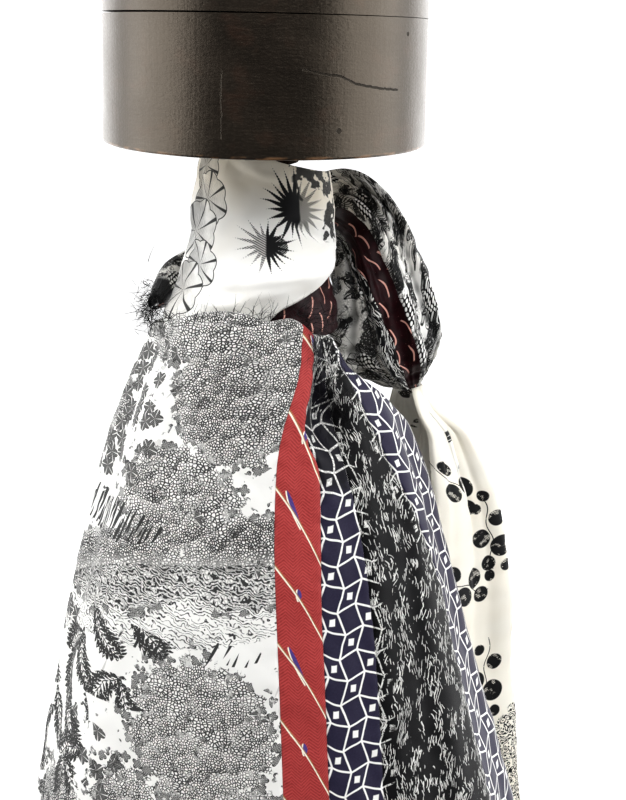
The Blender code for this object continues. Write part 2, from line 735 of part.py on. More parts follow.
def make_block():
    """The two glued halves of the head block, parted by a joint that gapes at the left."""

    def joint(x, y):
        return JOINT_SLOPE * y

    def gaping_joint(x, y):
        opening = JOINT_OPENING * (BLOCK_RADIUS - x) / (2 * BLOCK_RADIUS)
        return joint(x, y) + FACE_GAP + opening

    for name, low, high, rim, rim_radius, rim_steps, joint_face in (
        (
            "head_block_lower",
            BLOCK_UNDERSIDE,
            JOINT_HEIGHT,
            BLOCK_UNDERSIDE,
            LOWER_RIM_RADIUS,
            2,
            joint,
        ),
        (
            "head_block_upper",
            JOINT_HEIGHT,
            BLOCK_TOP,
            BLOCK_TOP,
            UPPER_RIM_RADIUS,
            3,
            gaping_joint,
        ),
    ):
        bpy.ops.mesh.primitive_cylinder_add(
            vertices=72,
            radius=BLOCK_RADIUS,
            depth=high - low,
            location=(0, 0, (low + high) / 2),
        )
        piece = bpy.context.object
        piece.name = name
        bpy.ops.object.transform_apply(location=True, rotation=False, scale=False)
        tilt_ring(piece, JOINT_HEIGHT, joint_face)
        rounded = piece.modifiers.new("Rounded", "BEVEL")
        rounded.width = rim_radius
        rounded.segments = rim_steps
        rounded.limit_method = "WEIGHT"
        outer_edge = piece.data.attributes.new("bevel_weight_edge", "FLOAT", "EDGE")
        for edge in piece.data.edges:
            ends = [piece.data.vertices[i].co.z for i in edge.vertices]
            if all(abs(z - rim) < 0.001 for z in ends):
                outer_edge.data[edge.index].value = 1.0
        piece.data.materials.append(material(name + "_wood", DARK_WOOD, WOOD_ROUGHNESS))
        for collection in list(piece.users_collection):
            collection.objects.unlink(piece)
        stand_parts.objects.link(piece)


def new_collection(name):
    made = bpy.data.collections.new(name)
    bpy.context.scene.collection.children.link(made)
    return made


for old in list(bpy.data.objects):
    bpy.data.objects.remove(old)
scarf_on_stand = new_collection("scarf_on_hat_stand")
scarf_parts = bpy.data.collections.new("scarf")
stand_parts = bpy.data.collections.new("stand")
scarf_on_stand.children.link(scarf_parts)
scarf_on_stand.children.link(stand_parts)
make_stand()
make_block()
make_neck_wrap()
make_roll()
make_front_panel()
make_tail()
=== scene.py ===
"""Looks of the patchwork silk scarf on its wooden hat stand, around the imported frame.

Metres, +Z up. The cloth is laid on the same surfaces as the solids, with finer folds, and each
print is drawn by its material on the cloth's own UV map, which is in metres of cloth.
"""

import math

import bpy
import numpy as np
from mathutils import Matrix, Vector


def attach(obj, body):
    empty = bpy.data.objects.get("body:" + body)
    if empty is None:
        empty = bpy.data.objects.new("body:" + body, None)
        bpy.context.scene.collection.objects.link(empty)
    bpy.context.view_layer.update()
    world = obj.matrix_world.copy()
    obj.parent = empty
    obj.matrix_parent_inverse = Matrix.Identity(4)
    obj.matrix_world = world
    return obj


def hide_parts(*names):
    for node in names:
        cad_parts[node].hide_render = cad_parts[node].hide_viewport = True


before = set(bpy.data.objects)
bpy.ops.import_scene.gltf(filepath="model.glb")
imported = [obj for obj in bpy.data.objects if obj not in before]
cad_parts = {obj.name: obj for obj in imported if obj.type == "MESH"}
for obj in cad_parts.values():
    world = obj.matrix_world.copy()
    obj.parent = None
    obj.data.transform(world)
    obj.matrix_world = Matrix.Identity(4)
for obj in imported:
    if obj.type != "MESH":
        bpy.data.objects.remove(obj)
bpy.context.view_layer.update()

# Cloth
SHEET_THICKNESS = 0.0010
SEAM_GAP = 0.00004

# Head block of the stand
BLOCK_UNDERSIDE = 0.640
BLOCK_RADIUS = 0.0956

# The prints and the wood are drawn in millimetres.
MM = 1000.0


def table(columns, *rows):
    """The columns of a short table by name, each an array."""
    return dict(zip(columns.split(), np.array(rows, float).T))


def rows_of(columns):
    """The rows of a table one at a time, as plain numbers."""
    return zip(*(values.tolist() for values in columns.values()))


# The hanging front panel. The sheet rounds away at left and right.
FRONT_LEVELS = table(
    "height left right front",
    (0.556, -0.0625, 0.0460, 0.0625),
    (0.535, -0.0655, 0.0505, 0.0645),
    (0.514, -0.0700, 0.0600, 0.0675),
    (0.499, -0.0765, 0.0745, 0.0700),
    (0.487, -0.0805, 0.0840, 0.0720),
    (0.456, -0.0900, 0.0975, 0.0770),
    (0.416, -0.1005, 0.1105, 0.0840),
    (0.360, -0.1130, 0.1255, 0.0930),
    (0.295, -0.1240, 0.1440, 0.1020),
    (0.228, -0.1360, 0.1640, 0.1100),
    (0.150, -0.1455, 0.1800, 0.1160),
    (0.080, -0.1510, 0.1890, 0.1200),
)
FRONT_HEM = 0.080
FRONT_ROLL_RADIUS = 0.0035
FRONT_ROLL_TURN = 165.0
FRONT_LEFT_ANGLE = -128.0
# Its right edge, which the roll beside the neck holds back near the top.
FRONT_RIGHT = table(
    "height angle",
    (0.545, 56),
    (0.514, 60),
    (0.495, 68),
    (0.470, 84),
    (0.430, 92),
    (0.080, 94),
)
# Its upper edge, which rolls over towards the neck.
FRONT_TOP = table(
    "angle height",
    (-128, 0.526),
    (-95, 0.529),
    (-70, 0.533),
    (-45, 0.541),
    (-15, 0.548),
    (0, 0.547),
    (14, 0.5425),
    (28, 0.5435),
    (36, 0.5400),
    (44, 0.5330),
    (62, 0.5290),
    (92, 0.5270),
)
# Where the seams between its strips lie across the front, by height.
SEAMS = table(
    "height toile_red red_navy navy_dark dark_edge",
    (0.5435, 0.0255, 0.0310, 0.0350, 0.0395),
    (0.522, 0.0238, 0.0312, 0.0385, 0.0445),
    (0.505, 0.0197, 0.0305, 0.0425, 0.0530),
    (0.488, 0.0155, 0.0275, 0.0470, 0.0625),
    (0.475, 0.0130, 0.0300, 0.0495, 0.0695),
    (0.460, 0.0115, 0.0362, 0.0520, 0.0760),
    (0.437, 0.0110, 0.0376, 0.0580, 0.0870),
    (0.416, 0.0112, 0.0383, 0.0625, 0.0965),
    (0.383, 0.0127, 0.0393, 0.0675, 0.1090),
    (0.349, 0.0146, 0.0412, 0.0718, 0.1190),
    (0.315, 0.0165, 0.0433, 0.0748, 0.1280),
    (0.281, 0.0183, 0.0453, 0.0777, 0.1370),
    (0.253, 0.0196, 0.0468, 0.0797, 0.1445),
    (0.150, 0.0225, 0.0500, 0.0840, 0.1580),
    (0.080, 0.0240, 0.0515, 0.0860, 0.1650),
)
# The valley that the navy strip folds into below the neck.
VALLEY = table(
    "height depth",
    (0.440, 0.0000),
    (0.456, 0.0030),
    (0.472, 0.0105),
    (0.488, 0.0150),
    (0.505, 0.0110),
    (0.522, 0.0040),
    (0.540, 0.0000),
)
# Soft folds of the front panel: angle and width in degrees, height of each end.
FRONT_FOLDS = table(
    "angle_above angle_below above below width depth",
    (-52, -62, 0.500, 0.100, 13, 0.0030),
    (-96, -104, 0.490, 0.060, 12, 0.0045),
    (-24, -30, 0.400, 0.040, 14, -0.0020),
    (58, 47, 0.480, 0.060, 9, 0.0035),
    (72, 70, 0.470, 0.200, 8, -0.0030),
)

# The cream stretch round the neck, from its free end at the right, round the left and back.
WRAP_LEVELS = table(
    "height left right front back",
    (0.636, 0.0372, 0.0380, 0.0395, 0.0400),
    (0.615, 0.0405, 0.0410, 0.0425, 0.0415),
    (0.600, 0.0430, 0.0425, 0.0440, 0.0425),
    (0.582, 0.0450, 0.0445, 0.0460, 0.0435),
    (0.563, 0.0495, 0.0480, 0.0500, 0.0445),
    (0.548, 0.0540, 0.0490, 0.0505, 0.0455),
    (0.535, 0.0595, 0.0490, 0.0500, 0.0460),
    (0.520, 0.0597, 0.0480, 0.0485, 0.0460),
)
WRAP_EDGES = table(
    "angle top bottom",
    (-282, 0.6175, 0.5860),
    (-262, 0.6180, 0.5760),
    (-240, 0.6190, 0.5620),
    (-215, 0.6200, 0.5520),
    (-180, 0.6220, 0.5420),
    (-140, 0.6260, 0.5350),
    (-100, 0.6320, 0.5270),
    (-60, 0.6355, 0.5230),
    (-15, 0.6355, 0.5290),
    (5, 0.6345, 0.5390),
    (17, 0.6320, 0.5470),
    (35, 0.6290, 0.5540),
    (55, 0.6260, 0.5640),
    (70, 0.6245, 0.5720),
    (84, 0.6235, 0.5790),
)
WRAP_TUCK = 0.0034
WRAP_SPLIT = -105.0
WRAP_ROLL_RADIUS = 0.0030
WRAP_ROLL_TURN = 100.0
WRAP_FREE_END = 84.0
WRAP_TUCK_FROM = -185.0
WRAP_TUCK_OVER = 70.0
WRAP_TUCKED_END = -282.0
WRAP_MEAN_RADIUS = 0.045
UNDER_END = 74.0
# Creases across the wrap: each runs from one angle and height to another.
WRAP_CREASES = table(
    "from_angle from_height to_angle to_height width depth",
    (-34, 0.628, 14, 0.611, 0.0060, -0.0022),
    (-12, 0.5580, 62, 0.5730, 0.0085, 0.0055),
    (30, 0.594, 66, 0.5880, 0.0065, -0.0020),
    (46, 0.608, 84, 0.6020, 0.0060, 0.0018),
    (-100, 0.600, -50, 0.5700, 0.0080, -0.0018),
    (-200, 0.600, -130, 0.5800, 0.0070, -0.0015),
)

# The dark stretch that shows below the cream one.
UNDER_LEVELS = table(
    "height left right front back",
    (0.576, 0.0400, 0.0395, 0.0410, 0.041),
    (0.556, 0.0430, 0.0440, 0.0455, 0.045),
    (0.540, 0.0460, 0.0480, 0.0466, 0.045),
    (0.525, 0.0470, 0.0490, 0.0466, 0.045),
)
UNDER_EDGES = table(
    "angle top bottom",
    (0, 0.560, 0.5310),
    (20, 0.563, 0.5300),
    (45, 0.5675, 0.5280),
    (74, 0.5640, 0.5300),
)

# The thick pleated roll, from the left of the neck round the back to the knot at the right.
ROLL_STATIONS = table(
    "x y z across outward facing open_start open_end inner",
    (-0.0652, -0.0020, 0.5415, 0.0045, 0.0040, 95, -110, 232, 0.0000),
    (-0.0575, 0.0345, 0.5470, 0.0130, 0.0080, 60, -110, 232, 0.0000),
    (-0.0150, 0.0630, 0.5620, 0.0170, 0.0095, 10, -110, 230, 0.0000),
    (0.0270, 0.0620, 0.5830, 0.0190, 0.0110, -10, -95, 215, 0.0000),
    (0.0510, 0.0440, 0.5960, 0.0200, 0.0125, -10, -78, 190, 0.0000),
    (0.0640, 0.0270, 0.5850, 0.0205, 0.0150, 0, -90, 165, 0.0035),
    (0.0715, 0.0150, 0.5650, 0.0215, 0.0170, 8, -110, 150, 0.0075),
    (0.0780, 0.0090, 0.5420, 0.0235, 0.0180, 12, -112, 150, 0.0105),
    (0.0840, 0.0100, 0.5180, 0.0235, 0.0170, 12, -112, 150, 0.0175),
    (0.0880, 0.0150, 0.5020, 0.0175, 0.0130, 16, -112, 150, 0.0165),
    (0.0900, 0.0200, 0.4905, 0.0100, 0.0090, 20, -112, 150, 0.0060),
)
# How far round its section the roll's inner edge starts to flare towards the neck.
ROLL_FLARE_FROM = -72.0
ROLL_FLARE_TO = -108.0
ROLL_FLARE_BACK = 0.9
ROLL_DRIFT_FROM = 0.7
# Ridges of the roll: angle round its section, width in degrees, height, and the degrees
# that it drifts round the section from the roll's start to the knot.
ROLL_RIDGES = table(
    "angle width height drift",
    (-88, 14, 0.0030, 0),
    (-60, 13, -0.0038, 8),
    (-32, 12, 0.0034, 14),
    (-5, 12, -0.0020, 10),
    (18, 12, 0.0032, 14),
    (44, 13, -0.0050, 20),
    (69, 12, 0.0038, 22),
    (95, 13, -0.0042, 16),
    (121, 12, 0.0026, 8),
)
# Where the seams between its strips lie, by angle round its section, along its length.
ROLL_SEAMS = table(
    "down cream_dark dark_maroon maroon_outer",
    (0.00, -72, -48, -8),
    (0.40, -70, -44, -6),
    (0.55, -76, -56, -2),
    (0.66, -56, -32, 4),
    (0.80, -42, -16, 14),
    (1.00, -40, -14, 16),
)
ROLL_SEAM_HALF = 0.05

# The cream end that hangs behind, fanning out from the knot.
TAIL_LEVELS = table(
    "height centre_x centre_y half_x half_y",
    (0.4884, 0.0905, 0.0225, 0.0095, 0.0085),
    (0.4740, 0.0930, 0.0240, 0.0160, 0.0120),
    (0.4560, 0.0980, 0.0290, 0.0285, 0.0190),
    (0.4265, 0.0980, 0.0360, 0.0420, 0.0290),
    (0.3760, 0.0910, 0.0450, 0.0640, 0.0410),
    (0.3150, 0.0820, 0.0520, 0.0790, 0.0490),
    (0.2470, 0.0750, 0.0570, 0.0930, 0.0550),
    (0.1600, 0.0700, 0.0600, 0.1060, 0.0590),
    (0.0950, 0.0670, 0.0620, 0.1130, 0.0620),
)
TAIL_START = 12.0
TAIL_END = 238.0
TAIL_HEM = 0.095
TAIL_FOLDS = table(
    "angle_above angle_below above below width depth",
    (24, 28, 0.478, 0.080, 10, 0.0045),
    (44, 52, 0.476, 0.200, 9, -0.0065),
    (72, 78, 0.470, 0.080, 12, 0.0040),
    (104, 112, 0.474, 0.060, 11, -0.0070),
    (140, 146, 0.474, 0.060, 12, 0.0060),
    (172, 178, 0.474, 0.060, 11, -0.0060),
    (206, 208, 0.474, 0.060, 12, 0.0050),
)


def smooth_curve(knots, values, at):
    """A curve through a column of values that never swings past them, held beyond its ends."""
    order = np.argsort(knots)
    x, y = knots[order], values[order]
    step = np.diff(x)
    rise = np.diff(y) / step
    same_way = rise[:-1] * rise[1:] > 0
    total = np.where(same_way, rise[:-1] + rise[1:], 1.0)
    slope = np.zeros_like(y)
    slope[1:-1] = np.where(same_way, 2 * rise[:-1] * rise[1:] / total, 0.0)
    slope[0], slope[-1] = rise[0], rise[-1]
    i = np.clip(np.searchsorted(x, at) - 1, 0, len(x) - 2)
    s = np.clip((at - x[i]) / step[i], 0, 1)
    rest = 1 - s
    ends = y[i] * rest**2 * (1 + 2 * s) + y[i + 1] * s**2 * (1 + 2 * rest)
    tangents = (slope[i] * rest - slope[i + 1] * s) * s * rest * step[i]
    return ends + tangents


def column(rows, name, at, key="height"):
    """The value of one column of a table at the given heights, or angles."""
    return smooth_curve(rows[key], rows[name], np.asarray(at, float))


def ease(t):
    """From 0 to 1, level at both ends."""
    t = np.clip(t, 0, 1)
    return t * t * (3 - 2 * t)


def unit(v):
    return v / np.maximum(np.linalg.norm(v, axis=-1, keepdims=True), 1e-12)


def stack(x, y, z):
    return np.stack(np.broadcast_arrays(x, y, z), axis=-1)


def folds(rows, angle, height):
    """How far the long hanging folds of a panel push it out, at each angle and height."""
    push = np.zeros(np.broadcast(angle, height).shape)
    for above, below, top, bottom, width, depth in rows_of(rows):
        down = np.clip((top - height) / (top - bottom), 0, 1)
        middle = above + (below - above) * down
        fade = ease((top + 0.03 - height) / 0.05) * ease((height - bottom + 0.04) / 0.08)
        push = push + depth * fade * np.exp(-(((angle - middle) / width) ** 2))
    return push


def front_panel(across, down):
    """The front panel. Across is an angle at the hem, given by front_angle, and down runs
    from 0 at the upper edge to 1 at the hem. Below 0 it rolls over towards the neck."""
    angle, down = np.broadcast_arrays(across, down)
    roll = np.clip(-down, 0, 1) * math.radians(FRONT_ROLL_TURN)
    top = column(FRONT_TOP, "height", angle, "angle") - FRONT_ROLL_RADIUS
    height = top + (FRONT_HEM - top) * np.clip(down, 0, 1)
    left = column(FRONT_LEVELS, "left", height)
    right = column(FRONT_LEVELS, "right", height)
    depth = column(FRONT_LEVELS, "front", height)
    middle, half = (right + left) / 2, (right - left) / 2
    turn = np.radians(angle)
    outward = unit(stack(depth * np.sin(turn), -half * np.cos(turn), 0 * turn))
    push = folds(FRONT_FOLDS, angle, height) - valley(angle, height, middle, half)
    base = stack(middle + half * np.sin(turn), -depth * np.cos(turn), height)
    inward = FRONT_ROLL_RADIUS * (1 - np.cos(roll))
    point = base + outward * (push - inward)[..., None]
    point[..., 2] += FRONT_ROLL_RADIUS * np.sin(roll)
    return point


def valley(angle, height, middle, half):
    """The depth of the fold beside the red strip, steep on its left and easy on its right."""
    near = front_angle("red_navy", height, middle, half)
    far = front_angle("navy_dark", height, middle, half)
    steep = ease((angle - near + 1.0) / 9.0)
    easy = 1 - ease((angle - far + 5.0) / 15.0)
    return column(VALLEY, "depth", height) * steep * easy


def front_angle(seam, height, middle=None, half=None):
    """The angle at which a seam of the front panel lies at a height."""
    if middle is None:
        left = column(FRONT_LEVELS, "left", height)
        right = column(FRONT_LEVELS, "right", height)
        middle, half = (right + left) / 2, (right - left) / 2
    sine = np.clip((column(SEAMS, seam, height) - middle) / half, -1, 0.985)
    return np.degrees(np.arcsin(sine))


def front_edge(edge, height):
    """The angle of a strip's edge at each height: a seam, or the left or right of the panel."""
    if edge == "left":
        return FRONT_LEFT_ANGLE + 0 * height
    if edge == "right":
        return column(FRONT_RIGHT, "angle", height)
    return front_angle(edge, height)


def front_strip_angles(start, end, share, down):
    """Angles across a strip of the front panel, at shares of its width, for each row. Half
    of the seam gap is left at each edge that meets another strip."""
    mean_top = SEAMS["height"].max()
    height = mean_top + (FRONT_HEM - mean_top) * np.clip(down, 0, 1) + 0 * share
    for _ in range(4):
        first = front_edge(start, height)
        last = front_edge(end, height)
        if start != "left":
            first = first + half_gap(front_panel, first, down)
        if end != "right":
            last = last - half_gap(front_panel, last, down)
        angle = first + (last - first) * share
        top = column(FRONT_TOP, "height", angle, "angle")
        height = top + (FRONT_HEM - top) * np.clip(down, 0, 1)
    return angle


def half_gap(surface, angle, down):
    """Half of the seam gap as an angle, where the surface runs at this slope."""
    beside = surface(angle + 0.5, down) - surface(angle - 0.5, down)
    return SEAM_GAP / 2 / np.linalg.norm(beside, axis=-1)


def neck_sheet(levels, angle, height):
    """A point of a sheet wound round the neck, and the way out from it."""
    turn = np.radians(angle)
    side = np.where(
        np.sin(turn) > 0,
        column(levels, "right", height),
        column(levels, "left", height),
    )
    face = np.where(
        np.cos(turn) > 0,
        column(levels, "front", height),
        column(levels, "back", height),
    )
    point = stack(side * np.sin(turn), -face * np.cos(turn), height)
    outward = unit(stack(face * np.sin(turn), -side * np.cos(turn), 0 * turn))
    return point, outward


def creases(rows, angle, height, radius):
    """How far short creases push a sheet out. Each is a line on the unrolled sheet."""
    push = np.zeros(np.broadcast(angle, height).shape)
    across = np.radians(angle) * radius
    for from_angle, from_height, to_angle, to_height, width, depth in rows_of(rows):
        start = np.array([math.radians(from_angle) * radius, from_height])
        line = np.array([math.radians(to_angle) * radius, to_height]) - start
        place = np.stack([across - start[0], height - start[1]], axis=-1)
        share = np.clip(place @ line / (line @ line), 0, 1)
        off = np.linalg.norm(place - share[..., None] * line, axis=-1)
        taper = 0.35 + 0.65 * np.sin(math.pi * np.clip(share, 0.0, 1.0)) ** 0.5
        push = push + depth * taper * np.exp(-((off / width) ** 2))
    return push


def wrap(across, down):
    """The cream stretch round the neck. Past 1 its lower edge rolls under."""
    angle, down = np.broadcast_arrays(across, down)
    top = column(WRAP_EDGES, "top", angle, "angle")
    bottom = column(WRAP_EDGES, "bottom", angle, "angle") + WRAP_ROLL_RADIUS
    roll = np.clip(down - 1, 0, 1) * math.radians(WRAP_ROLL_TURN)
    height = top + (bottom - top) * np.clip(down, 0, 1)
    point, outward = neck_sheet(WRAP_LEVELS, angle, height)
    push = creases(WRAP_CREASES, angle, height, WRAP_MEAN_RADIUS)
    push = push - WRAP_TUCK * ease((WRAP_TUCK_FROM - angle) / WRAP_TUCK_OVER)
    inward = WRAP_ROLL_RADIUS * (1 - np.cos(roll))
    point = point + outward * (push - inward)[..., None]
    point[..., 2] -= WRAP_ROLL_RADIUS * np.sin(roll)
    return point


def under_wrap(across, down):
    """The dark stretch below the cream one."""
    angle, down = np.broadcast_arrays(across, down)
    top = column(UNDER_EDGES, "top", angle, "angle")
    bottom = column(UNDER_EDGES, "bottom", angle, "angle")
    return neck_sheet(UNDER_LEVELS, angle, top + (bottom - top) * down)[0]


def roll_frame(share):
    """The roll's middle line at a share of its length, with its outward and side ways."""
    number = np.arange(len(ROLL_STATIONS["x"]), dtype=float)
    at = np.asarray(share) * number[-1]

    def station(name, where):
        return smooth_curve(number, ROLL_STATIONS[name], where)

    def middle_line(where):
        return stack(*(station(name, where) for name in "xyz"))

    step = 0.05
    ahead = middle_line(np.clip(at + step, 0, number[-1]))
    behind = middle_line(np.clip(at - step, 0, number[-1]))
    tangent = unit(ahead - behind)
    facing = np.radians(station("facing", at))
    out = stack(np.sin(facing), -np.cos(facing), 0 * facing)
    out = unit(out - tangent * (out * tangent).sum(-1, keepdims=True))
    side = -np.cross(tangent, out)
    sizes = (station(name, at) for name in ("across", "outward", "inner"))
    return middle_line(at), out, side, *sizes


def roll_surface(across, down):
    """The pleated roll. Across is the angle round its section."""
    angle, down = np.broadcast_arrays(across, down)
    middle, out, side, half_across, half_out, inner = roll_frame(down)
    push = np.zeros(angle.shape)
    for at, width, height, drift in rows_of(ROLL_RIDGES):
        crest = at + drift * (down - ROLL_DRIFT_FROM)
        push = push + height * np.exp(-(((angle - crest) / width) ** 2))
    gather = np.minimum(half_across / 0.022, 1.0) ** 2 * (0.3 + 0.7 * ease((down - 0.4) / 0.3))
    turn = np.radians(angle)
    round_out = stack(np.cos(turn) * half_across, np.sin(turn) * half_out, 0 * turn)
    round_out = unit(round_out)
    flare = inner * ease((ROLL_FLARE_FROM - angle) / (ROLL_FLARE_FROM - ROLL_FLARE_TO))
    sideways = half_across * np.sin(turn) + push * gather * round_out[..., 1] - flare
    outwards = half_out * np.cos(turn) + push * gather * round_out[..., 0]
    outwards = outwards - flare * ROLL_FLARE_BACK
    return middle + out * outwards[..., None] + side * sideways[..., None]


def roll_strip_angles(start, end, share, down):
    """Angles across a strip of the roll, between two seams or its open edges."""
    first = roll_edge(start, "open_start", down, ROLL_SEAM_HALF)
    last = roll_edge(end, "open_end", down, -ROLL_SEAM_HALF)
    return first + (last - first) * share


def roll_edge(seam, open_edge, down, clear):
    """The angle of a seam, moved clear of its line, or of an open edge where seam is None."""
    if seam is None:
        number = np.arange(len(ROLL_STATIONS["x"]), dtype=float)
        return smooth_curve(number, ROLL_STATIONS[open_edge], np.asarray(down) * number[-1])
    return smooth_curve(ROLL_SEAMS["down"], ROLL_SEAMS[seam], down) + clear


def tail(across, down):
    """The cream end that hangs from the knot."""
    angle, down = np.broadcast_arrays(across, down)
    height = TAIL_LEVELS["height"][0] + (TAIL_HEM - TAIL_LEVELS["height"][0]) * down
    names = ("centre_x", "centre_y", "half_x", "half_y")
    middle_x, middle_y, half_x, half_y = (column(TAIL_LEVELS, n, height) for n in names)
    turn = np.radians(angle)
    outward = unit(stack(half_y * np.sin(turn), -half_x * np.cos(turn), 0 * turn))
    point = stack(middle_x + half_x * np.sin(turn), middle_y - half_y * np.cos(turn), height)
    push = folds(TAIL_FOLDS, angle, height) * ease(half_y / 0.030)
    return point + outward * push[..., None]


class Field:
    """A number that varies over a surface, worked out by shader nodes."""

    def __init__(self, socket):
        self.socket = socket

    def __add__(self, other):
        return sums("ADD", self, other)

    def __radd__(self, other):
        return sums("ADD", self, other)

    def __sub__(self, other):
        return sums("SUBTRACT", self, other)

    def __rsub__(self, other):
        return sums("SUBTRACT", other, self)

    def __mul__(self, other):
        return sums("MULTIPLY", self, other)

    def __rmul__(self, other):
        return sums("MULTIPLY", self, other)

    def __truediv__(self, other):
        return sums("DIVIDE", self, other)

    def __neg__(self):
        return sums("MULTIPLY", self, -1.0)


def sums(operation, *values, clamp=False):
    """A field worked out from fields and numbers by one Math node."""
    tree = next(value.socket.id_data for value in values if isinstance(value, Field))
    node = tree.nodes.new("ShaderNodeMath")
    node.operation = operation
    node.use_clamp = clamp
    for socket, value in zip(node.inputs, values):
        if isinstance(value, Field):
            tree.links.new(value.socket, socket)
        else:
            socket.default_value = value
    return Field(node.outputs[0])


def least(a, b):
    return sums("MINIMUM", a, b)


def most(a, *others):
    """The greatest of some fields at each place."""
    for other in others:
        a = sums("MAXIMUM", a, other)
    return a


def size_of(a):
    return sums("ABSOLUTE", a)


def sine(a):
    return sums("SINE", a)


def cosine(a):
    return sums("COSINE", a)


def whole(a):
    return sums("FLOOR", a)


def part_of(a):
    return sums("FRACT", a)


def length(x, y):
    return sums("SQRT", x * x + y * y)


def bearing(x, y):
    return sums("ARCTAN2", y, x)


def odd(a):
    """1 where a whole number is odd, else 0."""
    return sums("GREATER_THAN", part_of(a * 0.5), 0.25)


def zigzag(a):
    """A wave of straight runs, from 0 at even numbers to 1 at odd ones."""
    return sums("PINGPONG", a, 1.0)


def above(a, edge, blur=0.1):
    """0 below an edge and 1 above it, with a soft step between."""
    return sums("DIVIDE", a - edge + blur / 2, blur, clamp=True)


def below(a, edge, blur=0.1):
    """1 below an edge and 0 above it, with a soft step between."""
    return sums("DIVIDE", edge + blur / 2 - a, blur, clamp=True)


def clamped(a):
    """A field held between 0 and 1."""
    return sums("ADD", a, 0.0, clamp=True)


def joined(tree, x, y, z=0.0):
    """The socket of a vector made from fields and numbers."""
    node = tree.nodes.new("ShaderNodeCombineXYZ")
    for socket, value in zip(node.inputs, (x, y, z)):
        if isinstance(value, Field):
            tree.links.new(value.socket, socket)
        else:
            socket.default_value = value
    return node.outputs[0]


def split(tree, socket):
    """The three fields that a vector or a colour holds."""
    node = tree.nodes.new("ShaderNodeSeparateXYZ")
    tree.links.new(socket, node.inputs[0])
    return [Field(output) for output in node.outputs]


def turned_by(x, y, degrees):
    """A place on axes that are turned by an angle."""
    c, s = math.cos(math.radians(degrees)), math.sin(math.radians(degrees))
    return x * c + y * s, y * c - x * s


def noise(x, y, size, seed=0.0, detail=2.0):
    """Cloudy noise between 0 and 1 on plane coordinates, with features of a size."""
    tree = x.socket.id_data
    node = tree.nodes.new("ShaderNodeTexNoise")
    node.inputs["Scale"].default_value = 1.0
    node.inputs["Detail"].default_value = detail
    tree.links.new(joined(tree, x / size, y / size, seed), node.inputs["Vector"])
    return Field(node.outputs["Fac"])


def cells(x, y, width, height, seed=0.0, order=1.0):
    """Scattered cells: the place inside each, from its middle, and two numbers of its own."""
    tree = x.socket.id_data
    node = tree.nodes.new("ShaderNodeTexVoronoi")
    node.voronoi_dimensions = "2D"
    node.inputs["Scale"].default_value = 1.0
    node.inputs["Randomness"].default_value = order
    across, along = x / width + seed, y / height + seed * 1.7
    tree.links.new(joined(tree, across, along), node.inputs["Vector"])
    middle_x, middle_y = split(tree, node.outputs["Position"])[:2]
    first, second = split(tree, node.outputs["Color"])[:2]
    return (across - middle_x) * width, (along - middle_y) * height, first, second


def spun(x, y, share):
    """A place turned by a share of a full turn that itself varies."""
    turn = share * (2 * math.pi)
    c, s = cosine(turn), sine(turn)
    return x * c + y * s, y * c - x * s


def coloured(tree, colour):
    """The socket of a colour, which is given as three numbers or is a socket already."""
    if isinstance(colour, tuple):
        node = tree.nodes.new("ShaderNodeRGB")
        node.outputs[0].default_value = (*colour, 1.0)
        return node.outputs[0]
    return colour


# Sockets of a Mix node that mixes two colours, or two vectors.
COLOUR_INPUTS, COLOUR_OUTPUT = (6, 7), 2
VECTOR_INPUTS, VECTOR_OUTPUT = (4, 5), 1


def mixed(tree, under, over, share):
    """One colour over another, by a share that varies."""
    node = tree.nodes.new("ShaderNodeMix")
    node.data_type = "RGBA"
    tree.links.new(share.socket, node.inputs["Factor"])
    for number, colour in zip(COLOUR_INPUTS, (under, over)):
        if isinstance(colour, tuple):
            node.inputs[number].default_value = (*colour, 1.0)
        else:
            tree.links.new(colour, node.inputs[number])
    return node.outputs[COLOUR_OUTPUT]


